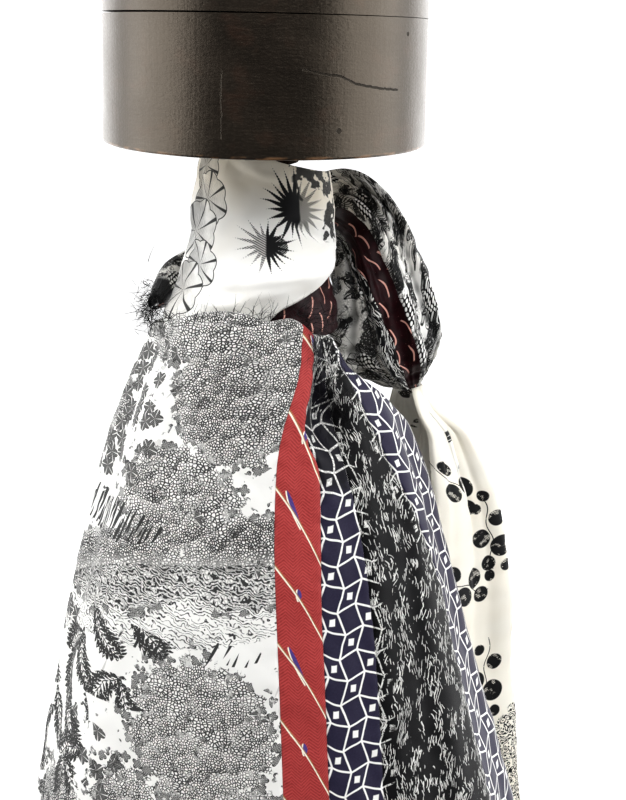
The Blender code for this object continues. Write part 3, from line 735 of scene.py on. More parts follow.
class Finish:
    """A material in the making: its node tree, shader and the places it is drawn by."""

    def __init__(self, name, roughness, sheen=0.0, coat=0.0, specular=0.16):
        self.material = bpy.data.materials.new(name)
        self.material.use_nodes = True
        self.tree = self.material.node_tree
        self.shader = self.tree.nodes["Principled BSDF"]
        self.shader.inputs["Roughness"].default_value = roughness
        self.shader.inputs["Sheen Weight"].default_value = sheen
        self.shader.inputs["Sheen Roughness"].default_value = 0.4
        self.shader.inputs["Coat Weight"].default_value = coat
        self.shader.inputs["Coat Roughness"].default_value = 0.3
        self.shader.inputs["Specular IOR Level"].default_value = specular

    def cloth_place(self, name="cloth"):
        """Millimetres of cloth across and down."""
        node = self.tree.nodes.new("ShaderNodeUVMap")
        node.uv_map = name
        across, down = split(self.tree, node.outputs[0])[:2]
        return across * MM, down * MM

    def object_place(self):
        """Millimetres on the object's own axes."""
        node = self.tree.nodes.new("ShaderNodeTexCoord")
        return [field * MM for field in split(self.tree, node.outputs["Object"])]

    def attribute(self, name):
        """A number that the mesh holds at each of its points."""
        node = self.tree.nodes.new("ShaderNodeAttribute")
        node.attribute_name = name
        return Field(node.outputs["Fac"])

    def paint(self, ground, *layers):
        """The ground colour, then each layer of share and colour over it."""
        colour = ground
        for share, over in layers:
            colour = mixed(self.tree, colour, over, share)
        self.tree.links.new(coloured(self.tree, colour), self.shader.inputs["Base Color"])

    def relief(self, height, depth_mm, way=None):
        """Raised and sunk places, on top of the mesh's own facing or one that is given."""
        bump = self.tree.nodes.new("ShaderNodeBump")
        if way is not None:
            self.tree.links.new(way, bump.inputs["Normal"])
        bump.inputs["Strength"].default_value = 1.0
        bump.inputs["Distance"].default_value = depth_mm / MM
        self.tree.links.new(height.socket, bump.inputs["Height"])
        self.tree.links.new(bump.outputs["Normal"], self.shader.inputs["Coat Normal"])
        self.tree.links.new(bump.outputs[0], self.shader.inputs["Normal"])

    def gloss(self, roughness):
        """A roughness that varies over the surface."""
        self.tree.links.new(roughness.socket, self.shader.inputs["Roughness"])


# Colours of the cloth, its inks, the wood and the room
WHITE = (0.88, 0.875, 0.85)
CREAM = (0.87, 0.84, 0.755)
CREAM_SHADE = (0.80, 0.73, 0.60)
INK = (0.010, 0.010, 0.011)
GREY_INK = (0.10, 0.10, 0.097)
TIE_RED = (0.46, 0.070, 0.066)
TIE_RED_DARK = (0.17, 0.016, 0.020)
LINE_CREAM = (0.90, 0.84, 0.70)
LINE_GOLD = (0.36, 0.20, 0.08)
LEAF_BLUE = (0.06, 0.06, 0.26)
TIE_NAVY = (0.020, 0.017, 0.037)
TIE_NAVY_LIGHT = (0.050, 0.046, 0.088)
# Black ground of the dark print, also used as painted shade in the fold of the navy strip.
FUR_AND_FOLD_SHADE_BLACK = (0.005, 0.005, 0.006)
STROKE_WHITE = (0.84, 0.84, 0.81)
TIE_MAROON = (0.030, 0.003, 0.006)
MAROON_DARK = (0.006, 0.0015, 0.002)
LINE_PINK = (0.66, 0.36, 0.30)
WOOD_BLACK = (0.0035, 0.0025, 0.002)
WOOD_BARE = (0.050, 0.027, 0.015)
WOOD_CLOUD = (0.011, 0.0075, 0.0055)
WOOD_MARK = (0.050, 0.036, 0.026)
WOOD_WARM = (0.045, 0.018, 0.011)
WOOD_SCRATCH = (0.090, 0.074, 0.058)
WOOD_GRAIN = (0.006, 0.004, 0.0035)
WOOD_WORN = (0.22, 0.12, 0.06)
WOOD_HOLE = (0.002, 0.002, 0.002)
WAX_TINT = (1.0, 0.84, 0.66, 1)
PAPER_WHITE = (0.92, 0.92, 0.92, 1)
PLAIN_WHITE = (1, 1, 1, 1)


def dotted(x, y, pitch):
    """A wave that peaks in dots, set as the dark squares of a draughts board are."""
    return sine(x * (2 * math.pi / pitch)) * sine(y * (2 * math.pi / pitch))


def weave(across, down, pitch=0.55):
    """The fine over and under of plain cloth."""
    return dotted(across, down, pitch)


def leaf_stamp(x, y, long, wide):
    """A pointed leaf along Y."""
    share = y / long
    return above((1.0 - share * share) * wide - size_of(x), 0.0, 0.15)


def lobed_stamp(x, y, reach, lobes, cut=0.24):
    """A leaf with round lobes and sharp notches: its whole and its drawn lines."""
    wave = size_of(cosine(bearing(x, y) * (lobes / 2)))
    inside = (wave * (2 * cut) + (1.0 - 2 * cut)) * reach - length(x, y)
    whole_leaf = above(inside, 0.0, 0.15)
    rim = whole_leaf * below(inside, 0.75, 0.2)
    veins = whole_leaf * above(wave, 0.975, 0.02)
    return whole_leaf, most(rim, veins)


def hatching(x, y, pitch, share, degrees=35.0):
    """Engraved lines at a slope, that cover a share of the cloth."""
    lifted = turned_by(x, y, degrees)[1]
    return below(part_of(lifted / pitch), share, 0.2)


def spiky_stamp(x, y, reach, spikes, seed):
    """A star of narrow blades round a middle, each of its own length."""
    turn = bearing(x, y) * (spikes / (2 * math.pi))
    number = sums("ROUND", turn)
    own = part_of(sine(number * 12.9 + seed) * 43.7)
    out = length(x, y)
    off = size_of(turn - number) * out * (2 * math.pi / spikes)
    share = out / (own * (reach * 0.34) + reach * 0.66)
    width = (1.0 - share) * least(share * 4.2 + 0.5, 1.5) * (reach * 0.068)
    serration = sine(out * (2 * math.pi / 1.5)) * 0.22 * share
    return above(width + serration - off, 0.0, 0.15)


def ring_of(x, y, middle_x, middle_y, radius):
    """How far inside a round outline each place is."""
    return radius - length(x - middle_x, y - middle_y)


def mixed_by(share, one, other):
    """One field where the share is 0, the other where it is 1."""
    return one * (1.0 - share) + other * share


def pebbles(x, y, size, seed=0.0):
    """How far each place is from the edge of its own small uneven cell, in the unit of x."""
    tree = x.socket.id_data
    node = tree.nodes.new("ShaderNodeTexVoronoi")
    node.voronoi_dimensions = "2D"
    node.feature = "DISTANCE_TO_EDGE"
    node.inputs["Scale"].default_value = 1.0
    tree.links.new(joined(tree, x / size + seed, y / size), node.inputs["Vector"])
    return Field(node.outputs["Distance"]) * size


def frond_stamp(x, y, reach, leaflet, pitch):
    """A frond along Y: a bent stem with pointed leaflets on both sides."""
    bent = x - y * y * (0.30 / reach)
    side = size_of(bent)
    base = y - side * 0.8
    number = sums("ROUND", base / pitch)
    off = size_of(base - number * pitch) * 0.78
    end = number * (pitch / reach)
    share = side * 1.28 / ((1.08 - end * end) * leaflet)
    width = share * (1.0 - share) * (pitch * 1.75)
    leaflets = above(width - off, 0.0, 0.2)
    stem = below(side, 0.38, 0.3)
    return most(leaflets, stem) * below(size_of(y), reach, 0.6)


def blade_stamp(x, y, long, wide):
    """A thin blade of grass along Y, bent and pointed."""
    share = y / long
    bent = x - share * share * (wide * 3.0)
    return above((1.0 - share * share) * wide - size_of(bent), 0.0, 0.2)


def engraved_canopy(x, y, depth, coarser):
    """A mesh of small uneven cells, coarser in places, with worm lines where it is dark."""
    line_width = depth * 0.42 + 0.19
    fine_lines = below(pebbles(x, y, 1.55, 3.0), line_width * 0.78, 0.22)
    coarse_lines = below(pebbles(x, y * 1.25, 2.15), line_width, 0.25)
    contour = part_of(noise(x, y, 11.0, 5.0, 1.0) * 5.0)
    worms = below(size_of(contour - 0.5), depth * 0.08 + 0.03, 0.05) * above(depth, 0.5, 0.2)
    return most(mixed_by(coarser, fine_lines, coarse_lines), worms * 0.8)


def engraved_banks(x, y, drift_x, drift_y, depth):
    """Broken wavy lines of the ground, thicker where it is dark."""
    across, along = turned_by(x + drift_x * 16.0, y + drift_y * 16.0, 14.0)
    wave = along + sine(across / 3.1) * 0.35
    broken = above(noise(x, y, 1.6, 9.0, 0.0), 0.36, 0.08)
    return below(part_of(wave / 2.3), depth * 0.45 + 0.26, 0.2) * broken


def engraved_leaves(x, y, leafy):
    """Leaves with five lobes and light veins: where they lie, and their ink."""
    in_x, in_y, own, other = cells(x, y, 12.0, 12.0, 4.0, 0.85)
    in_x, in_y = spun(in_x, in_y, other)
    leaf, drawn = lobed_stamp(in_x, in_y, 6.3, 5.0, 0.17)
    hatch = hatching(in_x, in_y, 0.95, 0.55)
    veined = above(cosine(bearing(in_x, in_y) * 5.0), 0.95, 0.04)
    leaves = leaf * below(own, leafy, 0.02)
    return leaves, most(drawn, hatch * 0.15 + 0.82) * leaves * (1.0 - veined * 0.9)


def engraved_rim_leaves(x, y, shape):
    """Small leaves along the edges of the clumps: where they lie, and their ink."""
    in_x, in_y, own, other = cells(x, y, 6.6, 6.6, 9.0)
    in_x, in_y = spun(in_x, in_y, other)
    edge_band = above(shape, 0.16, 0.05) * below(shape, 0.48, 0.08)
    leaf, drawn = lobed_stamp(in_x, in_y, 3.7, 4.0)
    leaves = leaf * below(own, 0.62, 0.05) * edge_band
    hatch = hatching(in_x, in_y, 0.95, 0.6)
    return leaves, most(drawn, hatch * 0.2 + 0.6) * leaves


# Layers of fronds: their slope in degrees and the size of the cell that each is drawn in.
FROND_LAYERS = table(
    "slope wide long seed",
    (35, 34, 46, 1),
    (-20, 30, 40, 6),
)


def engraved_fronds(x, y, spray):
    """Fronds that lie in the sprays."""
    layers = []
    for slope, wide, long, seed in rows_of(FROND_LAYERS):
        across, along = turned_by(x, y, slope)
        in_x, in_y, own, other = cells(across, along, wide, long, seed, 0.6)
        in_x, in_y = spun(in_x, in_y, other * 0.18 - 0.09)
        frond = frond_stamp(in_x, in_y, long * 0.46, wide * 0.42, 3.4)
        layers.append(frond * below(own, spray + 0.05, 0.02) * above(spray, 0.12, 0.02))
    return most(*layers)


# Layers of grass: their slope in degrees.
GRASS_LAYERS = table(
    "slope seed",
    (27, 11),
    (30, 14),
)


def engraved_grass(x, y, grassy):
    """Thin blades of grass that all lean one way."""
    layers = []
    for slope, seed in rows_of(GRASS_LAYERS):
        across, along = turned_by(x, y, slope)
        in_x, in_y, own = cells(across, along, 3.4, 25.0, seed)[:3]
        blade = blade_stamp(in_x + in_y * in_y * 0.02, in_y, 12.0, 0.85)
        layers.append(blade * below(own, grassy, 0.02))
    return most(*layers)


def engraved_foliage():
    """White cotton printed with banks, clumps and sprays of engraved leaves."""
    finish = Finish("engraved_cotton", 0.75, sheen=0.03)
    x, y = finish.cloth_place()
    names = ("tone", "leafy", "spray", "grass", "ground")
    tone, leafy, spray, grassy, ground = (finish.attribute(name) for name in names)
    drift_x = noise(x, y, 9.0, 3.0) - 0.5
    drift_y = noise(x, y, 9.0, 8.0) - 0.5
    ragged = noise(x, y, 6.0, 1.0, 4.0) - 0.5
    lump_x, lump_y, lump = cells(x + drift_x * 9.0, y + drift_y * 9.0, 11.0, 9.0, 2.0)[:3]
    lit = (lump_x * 0.7 + lump_y) * 0.034 + (lump - 0.5) * 0.20
    shape = tone + ragged * 0.75 + (lump - 0.5) * 0.22
    depth = tone * 0.75 + lit + ragged * 0.3
    coarser = above(noise(x, y, 26.0, 9.0) + ground * 0.2, 0.53, 0.05)
    canopy = engraved_canopy(x + drift_x * 3.0, y + drift_y * 3.0, depth, coarser)
    canopy = canopy * above(shape, 0.36, 0.05) * (1.0 - ground * 0.6)
    banks = engraved_banks(x, y, drift_x, drift_y, depth)
    banks = banks * above(ground + ragged * 0.4, 0.5, 0.08)
    leaves, leaf_ink = engraved_leaves(x, y, leafy + ragged * 0.35)
    small_leaves, small_ink = engraved_rim_leaves(x, y, shape)
    fronds = engraved_fronds(x + drift_x * 5.0, y + drift_y * 5.0, spray)
    fronds = fronds * above(noise(x, y, 1.1, 21.0, 0.0), 0.30, 0.1)
    grass = engraved_grass(x, y, grassy)
    fine = most(canopy, banks) * (1.0 - most(leaves, small_leaves))
    ink = clamped(most(fine, leaf_ink, small_ink, fronds, grass))
    finish.paint(WHITE, (ink * 0.96, INK))
    finish.relief(weave(x, y, 0.7) + noise(x, y, 2.0) * 2.0, 0.05)
    return finish.material


# How far apart the stripes of the red silk lie, down the strip.
RED_REPEAT = 46.0


def red_tie():
    """Red herringbone tie silk with thin curved stripes and small blue leaves."""
    finish = Finish("red_tie_silk", 0.55, sheen=0.06)
    x, y = finish.cloth_place("strip")
    band = zigzag(x / 5.5)
    rib = sine((y / 1.9 + band * 2.6) * (2 * math.pi))
    mottle = noise(x, y, 1.6, 4.0, 3.0)
    fall = x * 1.75 - sine(x * (math.pi / 30.0)) * 6.0
    place = part_of((y - fall) / RED_REPEAT + 0.18) * RED_REPEAT - RED_REPEAT / 2
    cream = below(size_of(place), 0.75, 0.45)
    gold = below(size_of(place + 1.3), 0.6, 0.45)
    swing = sine(y * (math.pi / RED_REPEAT) + 0.9) * 5.0
    leaf_x = x - 13.0 + swing
    leaf_fall = (13.0 - swing) * 1.75 - 5.5
    leaf_share = part_of((y - leaf_fall + 3.0) / RED_REPEAT + 0.18)
    leaf_y = leaf_share * RED_REPEAT - RED_REPEAT / 2
    along_x, along_y = turned_by(leaf_x, leaf_y, -14.0)
    leaf = leaf_stamp(along_x, along_y, 6.2, 1.5)
    stem_x = along_x + 1.5 - along_y * along_y * 0.02
    stem = below(size_of(stem_x), 0.42, 0.3) * below(size_of(along_y), 6.0, 0.5)
    shade = clamped(rib * 0.42 + mottle * 1.1 - 0.22)
    finish.paint(
        TIE_RED,
        (shade * 0.75, TIE_RED_DARK),
        (leaf * 0.9, LEAF_BLUE),
        (stem, LINE_CREAM),
        (gold * 0.8, LINE_GOLD),
        (cream, LINE_CREAM),
    )
    finish.relief(rib * 0.5 + mottle, 0.10)
    return finish.material


# The net on the navy silk: the size of its cells, their sway and the step of every other one
NET_ACROSS = 11.6
NET_DOWN = 13.7
NET_SWAY = 2.3
NET_STEP = 0.33


def net_lines(x, y):
    """The skewed net: how far a place is from its lines, and its small squares."""
    column_number = sums("ROUND", x / NET_ACROSS)
    lifted = y - odd(column_number) * (NET_STEP * NET_DOWN)
    sway = 1.0 - zigzag(lifted / NET_DOWN) * 2.0
    from_upright = size_of(x - column_number * NET_ACROSS - sway * NET_SWAY)
    row_number = sums("ROUND", y / NET_DOWN - NET_STEP / 2)
    slid = x - (1.0 - odd(row_number) * 2.0) * NET_SWAY
    step = zigzag(slid / NET_ACROSS) * (NET_STEP * NET_DOWN)
    from_rung = size_of(y - row_number * NET_DOWN - step)
    cell_x = whole(x / NET_ACROSS)
    cell_y = whole(y / NET_DOWN - NET_STEP / 2)
    in_x = x - (cell_x + 0.5) * NET_ACROSS
    in_y = y - (cell_y + 0.5 + NET_STEP / 2) * NET_DOWN
    square = below(most(size_of(in_x + in_y * 0.12), size_of(in_y) * 0.85), 1.75, 0.4)
    return least(from_upright, from_rung), square * odd(cell_x + cell_y)


# Layers of strokes: the size of the cell that each is drawn in, and how far they lean.
STROKE_LAYERS = table(
    "wide long lean seed",
    (1.9, 6.2, 5, 1),
    (2.3, 8.6, 14, 4),
    (1.9, 5.0, -13, 7),
)


def fur_strokes(x, y, fullness):
    """Short light strokes that run down the cloth, thicker where they bunch."""
    drift = (noise(x, y, 30.0, 2.0) - 0.5) * 18.0
    bunch = noise(x, y / 1.7, 9.0, 9.0, 2.0)
    layers = []
    for wide, long, lean, seed in rows_of(STROKE_LAYERS):
        across, along = turned_by(x + drift, y, lean)
        in_x, in_y, own, other = cells(across, along, wide, long, seed)
        lean_own = (other - 0.5) * 0.35
        off = size_of(in_x + in_y * lean_own + in_y * in_y * 0.03)
        line = below(off, 0.22, 0.2) * below(size_of(in_y), long * 0.37, 0.5)
        line = line * below(own, fullness + (bunch - 0.5) * 4.2, 0.08) * (other * 0.45 + 0.6)
        layers.append(line)
    return most(*layers)


def navy_tie(name, laid_from, fold_depth):
    """Navy tie silk with a light net of skewed cells, every other one with a square. As far down
    as the fold that it dives into, its ground is painted black and its net fainter, as painted
    shade of the fold, and light strokes of the dark print run over its upper part."""
    finish = Finish(name, 0.5, sheen=0.05)
    x, y = finish.cloth_place(laid_from)
    strip_x, strip_y = finish.cloth_place("strip")
    wobble = (noise(x, y, 16.0, 3.0) - 0.5) * 1.6
    line, square = net_lines(x + wobble, y + wobble * 0.7)
    twill = sine((x + y) * (2 * math.pi / 0.8)) * 0.5 + 0.5
    mottle = noise(x, y, 1.3, 7.0, 3.0)
    net = most(below(line, 0.62, 0.3), square)
    fray = (noise(x, y, 7.0, 19.0, 2.0) - 0.5) * 50.0
    # Painted shade of the fold: the ground goes black and the net fainter, down to fold_depth.
    fold_shade = below(y + fray * 0.4, fold_depth, 14.0)
    covered = below(y + fray, fold_depth - 55.0, 8.0)
    strokes = fur_strokes(strip_x, strip_y, 0.34) * covered
    broken = above(noise(x, y, 1.2, 15.0, 1.0), 0.45, 0.1)
    finish.paint(
        TIE_NAVY,
        (clamped(twill * 0.25 + mottle * 0.5 - 0.05), TIE_NAVY_LIGHT),
        # Painted shade of the fold.
        (fold_shade * 0.85, FUR_AND_FOLD_SHADE_BLACK),
        (net * (1.0 - fold_shade * broken * 0.5 - covered * 0.4), WHITE),
        (strokes, STROKE_WHITE),
    )
    finish.relief(twill * 0.4 + mottle + net * 0.6, 0.06)
    return finish.material


def dark_print():
    """Black silk with short light strokes, and ends of the net that run in from both sides."""
    finish = Finish("dark_print_silk", 0.5, sheen=0.04)
    x, y = finish.cloth_place("strip")
    left_x, left_y = finish.cloth_place("cloth")
    right_x, right_y = finish.cloth_place("edge")
    strokes = fur_strokes(x, y, 0.30)
    fray = noise(x, y, 4.0, 12.0, 2.0)
    left_line, left_square = net_lines(left_x, left_y)
    right_line, right_square = net_lines(right_x, right_y)
    in_left = below(x, fray * 15.0 - 1.0, 3.0)
    in_right = below(-right_x, fray * 17.0 - 1.0, 3.0)
    net = most(
        below(left_line, 0.5, 0.3) * in_left,
        left_square * in_left,
        below(right_line, 0.5, 0.3) * in_right,
        right_square * in_right,
    )
    broken = above(noise(x, y, 1.0, 15.0, 1.0), 0.42, 0.1)
    light = most(strokes, net * broken * 0.85)
    finish.paint(FUR_AND_FOLD_SHADE_BLACK, (light, STROKE_WHITE))
    finish.relief(light + weave(x, y) * 0.3, 0.08)
    return finish.material


def maroon_tie():
    """Nearly black maroon tie silk with thin pink lines."""
    finish = Finish("lined_maroon_silk", 0.45, sheen=0.05)
    x, y = finish.cloth_place()
    in_x, in_y, own, other = cells(x, y, 10.0, 15.0, 3.0, 0.7)
    in_x, in_y = spun(in_x, in_y, other * 0.16 - 0.08)
    arc = size_of(in_x + in_y * in_y * 0.045 - 1.0)
    line = below(arc, 0.50, 0.25) * below(size_of(in_y), 6.0, 0.6) * below(own, 0.6, 0.05)
    rib = sine((y + x * 0.6) * (2 * math.pi / 1.1)) * 0.5 + 0.5
    mottle = noise(x, y, 5.0, 2.0)
    speck = above(noise(x, y, 0.9, 6.0, 1.0), 0.76, 0.04)
    finish.paint(
        MAROON_DARK,
        (clamped(mottle * 1.4 - 0.25), TIE_MAROON),
        (most(line, speck * 0.35), LINE_PINK),
    )
    finish.relief(rib, 0.05)
    return finish.material


def cream_ground(x, y):
    """The soft colour of the cream silk, a little deeper here and there."""
    return clamped(noise(x, y, 38.0, 2.0) * 1.5 - 0.62)


# Petals of the band down the left of the neck: millimetres across from the front, and down.
PETALS = table(
    "across down reach turn",
    (-44, 8, 16.0, 14),
    (-37, 27, 18.0, -34),
    (-45, 47, 21.0, 28),
    (-38, 66, 16.0, -20),
    (-50, 84, 21.0, 36),
)


def palm_stars(x, y):
    """Two spiky palm stars, each with one half combed into lines."""
    comb = below(part_of(x * 0.55 + y), 0.62, 0.2)
    star = spiky_stamp(*turned_by(x - 21.0, y - 25.0, 12.0), 25.0, 21.0, 2.0)
    second = spiky_stamp(*turned_by(x - 3.5, y - 50.5, 40.0), 19.0, 17.0, 5.0)
    combed = above(x - 24.0, 0.0, 1.0) * (1.0 - comb)
    second_combed = below(x - 3.0, 0.0, 1.0) * (1.0 - comb)
    return most(star * (1.0 - combed * 0.9), second * (1.0 - second_combed * 0.9))


def dotted_border(x, y, dots):
    """The wavy border at the right and top of the neck and a stalk, with light dots."""
    wavy = sine(y * 0.55) * 1.3 + sine(y * 1.3) * 0.5
    border = above(x - 44.0 + wavy, 0.0, 0.4) * below(x, 58.0, 0.5) * below(y, 42.0, 2.0)
    upper = below(y - (x - 22.0) * 0.12 + wavy, 9.5, 0.5) * above(x, 19.0, 1.5)
    upper = upper * below(x, 58.0, 0.5)
    stalk = below(size_of(x - 20.0 - y * 0.20 + wavy * 0.6), 2.0, 0.4) * below(y, 22.0, 1.0)
    ink = most(border, upper, stalk) * (1.0 - above(dots, 0.72, 0.15) * 0.5)
    return ink * (1.0 - above(noise(x, y, 6.5, 31.0, 2.0), 0.53, 0.03) * 0.95)


def petal_band(x, y):
    """The band of petals down the left of the neck: its ink and its soft shade."""
    ink, cover = None, None
    for across, down, reach, turn in rows_of(PETALS):
        in_x, in_y = turned_by(x - across, y - down, turn)
        petal, lines = lobed_stamp(in_x * 1.2, in_y, reach, 7.0, 0.06)
        bent = in_x + in_y * in_y * 0.035 + (noise(in_x, in_y, 8.0) - 0.5) * 5.0
        lit = clamped(0.60 - bent / reach * 1.2)
        own = most(lines, below(part_of(bent / 1.5), lit * 0.8, 0.4) * 0.55, lit * 0.45) * petal
        ink = own if ink is None else most(ink * (1.0 - petal), own)
        cover = petal if cover is None else most(cover, petal)
    return ink, cover * clamped(noise(x, y, 6.0, 5.0) * 1.8 - 0.45)


def scattered_leaves(x, y):
    """Lobed leaves scattered over the back of the neck."""
    in_x, in_y, own, other = cells(x, y, 17.0, 19.0, 8.0)
    in_x, in_y = spun(in_x, in_y, other)
    leaf, lines = lobed_stamp(in_x, in_y, 8.0, 5.0)
    drawn = leaf * most(lines, hatching(in_x, in_y, 1.1, 0.45))
    return drawn * below(x, -62.0, 8.0) * below(own, 0.7, 0.05)


def wrap_print():
    """Cream silk round the neck: spiky palm stars, a band of petals and a dotted border, with
    painted shade along its top under the head block.
    """
    finish = Finish("cream_neck_silk", 0.62, sheen=0.04)
    x, y = finish.cloth_place()
    dots = dotted(x, y, 1.25)
    disc = above(ring_of(x, y, 10.5, 48.5, 5.2), 0.0, 0.3) * (1.0 - above(dots, 0.6, 0.2))
    petal_ink, petal_shade = petal_band(x, y)
    ink = most(palm_stars(x, y), disc, dotted_border(x, y, dots), scattered_leaves(x, y))
    # Random deeper tone, and painted shade of the head block along the wrap's upper edge.
    deeper = cream_ground(x, y) * 0.6 + below(y, 26.0, 20.0) * 0.8
    finish.paint(
        WHITE,
        (clamped(deeper), CREAM_SHADE),
        (petal_shade * 0.35, GREY_INK),
        (clamped(petal_ink) * 0.95, INK),
        (clamped(ink), INK),
    )
    finish.relief(weave(x, y) * 0.6 + noise(x, y, 3.0), 0.05)
    return finish.material


def leaf_print(name, fullness, ground, speckled=0.0, dark_until=-50.0):
    """Cream silk thickly printed with black and grey leaves and a few dotted flowers. Shade is
    painted in ink into the valleys of its pleats."""
    finish = Finish(name, 0.6, sheen=0.04)
    x, y = finish.cloth_place()
    bend = (noise(x, y, 14.0, 4.0) - 0.5) * 8.0
    leaf_x, leaf_y, own, other = cells(x + bend, y + bend, 21.0, 25.0, 5.0)
    leaf_x, leaf_y = spun(leaf_x, leaf_y, other)
    leaf, leaf_lines = lobed_stamp(leaf_x, leaf_y, 12.5, 5.0)
    tone = noise(x, y, 9.0, 7.0, 2.0)
    grey = leaf * below(own, fullness, 0.04)
    fan = hatching(leaf_x, leaf_y, 1.35, 0.5)
    lines = most(leaf_lines, fan * above(tone, 0.44, 0.2))
    bud_x, bud_y, own, other = cells(x, y + bend, 30.0, 34.0, 2.0, 0.8)
    bud = above(7.4 - length(bud_x, bud_y * 0.8), 0.0, 0.3) * below(own, fullness * 0.6, 0.02)
    seed_x, seed_y = cells(bud_x, bud_y, 2.9, 2.9, 0.5, 0.12)[:2]
    seeds = below(length(seed_x, seed_y), 1.05, 0.25)
    dark = noise(x, y, 15.0, 11.0, 2.5)
    patch = above(dark, 0.62 - fullness * 0.12, 0.02)
    pitted = above(noise(x, y, 1.3, 3.0, 1.0), 0.36, 0.08)
    speckle = above(noise(x, y, 1.2, 13.0, 1.0), 0.50, 0.06) * above(dark, 0.47, 0.04) * speckled
    finish.paint(
        ground,
        (cream_ground(x, y) * 0.8, CREAM_SHADE),
        (clamped(speckle), INK),
        (clamped(grey * (tone * 1.6 - 0.60)), GREY_INK),
        (clamped(grey * lines * 0.95), INK),
        (patch * pitted * 0.95, INK),
        (bud, INK),
        (bud * seeds, WHITE),
        (below(y + tone * 8.0, dark_until, 4.0), INK),
        # Painted shade: ink in the valleys of the roll's pleats.
        (clamped(finish.attribute("crease_shade") * 0.75), INK),
    )
    finish.relief(weave(x, y) * 0.6 + noise(x, y, 3.0), 0.05)
    return finish.material


# Sprigs on the end that hangs behind: where each lies, in metres, and its turn in degrees.
SPRIGS = table(
    "x y z turn",
    (0.132, 0.000, 0.4320, -28),
    (0.146, 0.020, 0.3920, 12),
    (0.130, 0.010, 0.3600, -62),
    (0.151, 0.020, 0.2950, 15),
    (0.060, 0.110, 0.4200, 20),
    (0.130, 0.110, 0.3500, -40),
    (0.030, 0.110, 0.3100, 35),
    (0.100, 0.120, 0.2500, -15),
    (0.010, 0.110, 0.2000, 50),
    (0.170, 0.080, 0.2100, -30),
    (0.060, 0.120, 0.1500, 10),
    (0.140, 0.100, 0.1300, 65),
    (0.160, 0.020, 0.1700, 30),
    (-0.010, 0.070, 0.1300, -45),
    (0.090, 0.110, 0.3300, 80),
)


# Leaves of one sprig: the middle and the radius of each, before it is scaled.
SPRIG_LEAVES = (
    (-3.8, -11.0, 2.2),
    (3.4, -5.5, 3.3),
    (-4.2, 2.0, 4.0),
    (3.9, 6.5, 4.4),
    (-2.0, 13.0, 3.2),
    (5.6, 15.0, 2.4),
)
SPRIG_SCALE = 1.65


def sprig(x, y):
    """A vine sprig: round leaves on both sides of a thin stem."""
    stem = below(size_of(x - sine(y * 0.25) * 1.6), 0.35, 0.25) * below(size_of(y), 26.0, 0.5)
    x, y = x / SPRIG_SCALE, y / SPRIG_SCALE
    return most(stem, *(above(ring_of(x, y, *leaf), 0.0, 0.3) for leaf in SPRIG_LEAVES))


def tail_print(places):
    """Cream silk with dark vine sprigs set far apart, at places on the cloth in metres, and
    an engraved patch at its edge."""
    finish = Finish("cream_tail_silk", 0.62, sheen=0.04)
    x, y = finish.cloth_place()
    sprigs = []
    for (across, down), turn in zip(places, SPRIGS["turn"].tolist()):
        sprigs.append(sprig(*turned_by(x - across * MM, y - down * MM, turn)))
    fading = noise(x, y, 5.0, 6.0)
    ink = most(*sprigs)
    ink = ink * (1.0 - above(dotted(x, y, 1.3), 0.1, 0.3) * above(fading, 0.6, 0.08))
    engraved = finish.attribute("engraved")
    contour = part_of(noise(x, y, 5.0, 5.0, 1.0) * 7.5)
    patch = above(engraved + (fading - 0.5) * 0.8, 0.5, 0.06) * below(contour, 0.5, 0.16)
    ink = most(ink, patch)
    finish.paint(
        CREAM,
        (cream_ground(x, y) * 0.9, CREAM_SHADE),
        (clamped(ink), INK),
    )
    finish.relief(weave(x, y) * 0.6 + noise(x, y, 3.0), 0.05)
    return finish.material


def lay_cloth(name, points, uvs, attributes, finishes):
    """A thin sheet on a grid of points, with its UV maps and attributes, and a wall of its
    own towards the inner side."""
    rows, columns = points.shape[:2]
    numbers = np.arange(rows * columns).reshape(rows, columns)
    faces = np.stack(
        [numbers[:-1, :-1], numbers[1:, :-1], numbers[1:, 1:], numbers[:-1, 1:]], axis=-1
    ).reshape(-1, 4)
    mesh = bpy.data.meshes.new(name)
    mesh.from_pydata(points.reshape(-1, 3).tolist(), [], faces.tolist())
    corners = faces.reshape(-1)
    for uv_name, uv in uvs.items():
        layer = mesh.uv_layers.new(name=uv_name)
        layer.data.foreach_set("uv", uv.reshape(-1, 2)[corners].ravel())
    for attribute_name, values in attributes.items():
        attribute = mesh.attributes.new(attribute_name, "FLOAT", "POINT")
        attribute.data.foreach_set("value", values.ravel())
    for finish in finishes:
        mesh.materials.append(finish)
    mesh.shade_smooth()
    sheet = bpy.data.objects.new(name, mesh)
    bpy.context.scene.collection.objects.link(sheet)
    wall = sheet.modifiers.new("Thickness", "SOLIDIFY")
    wall.thickness = SHEET_THICKNESS
    wall.offset = -1.0
    wall.use_even_offset = False
    if len(finishes) > 1:
        wall.material_offset = 1
    return sheet


def measured_across(points):
    """Lengths of cloth across each row, from its own first point."""
    steps = np.linalg.norm(np.diff(points, axis=1), axis=-1)
    return np.concatenate([np.zeros((len(points), 1)), np.cumsum(steps, axis=1)], axis=1)


def measured_down(points, origin_row=0):
    """Lengths of cloth down each column, from an origin row."""
    steps = np.linalg.norm(np.diff(points, axis=0), axis=-1)
    down = np.concatenate([np.zeros((1, points.shape[1])), np.cumsum(steps, axis=0)])
    return down - down[origin_row]


def declare(sheet, node, slot, flat):
    """Hangs a sheet from the root and hides the solid that it stands for. Its slot and flat size
    are not used.
    """
    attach(sheet, "root")
    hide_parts(node)


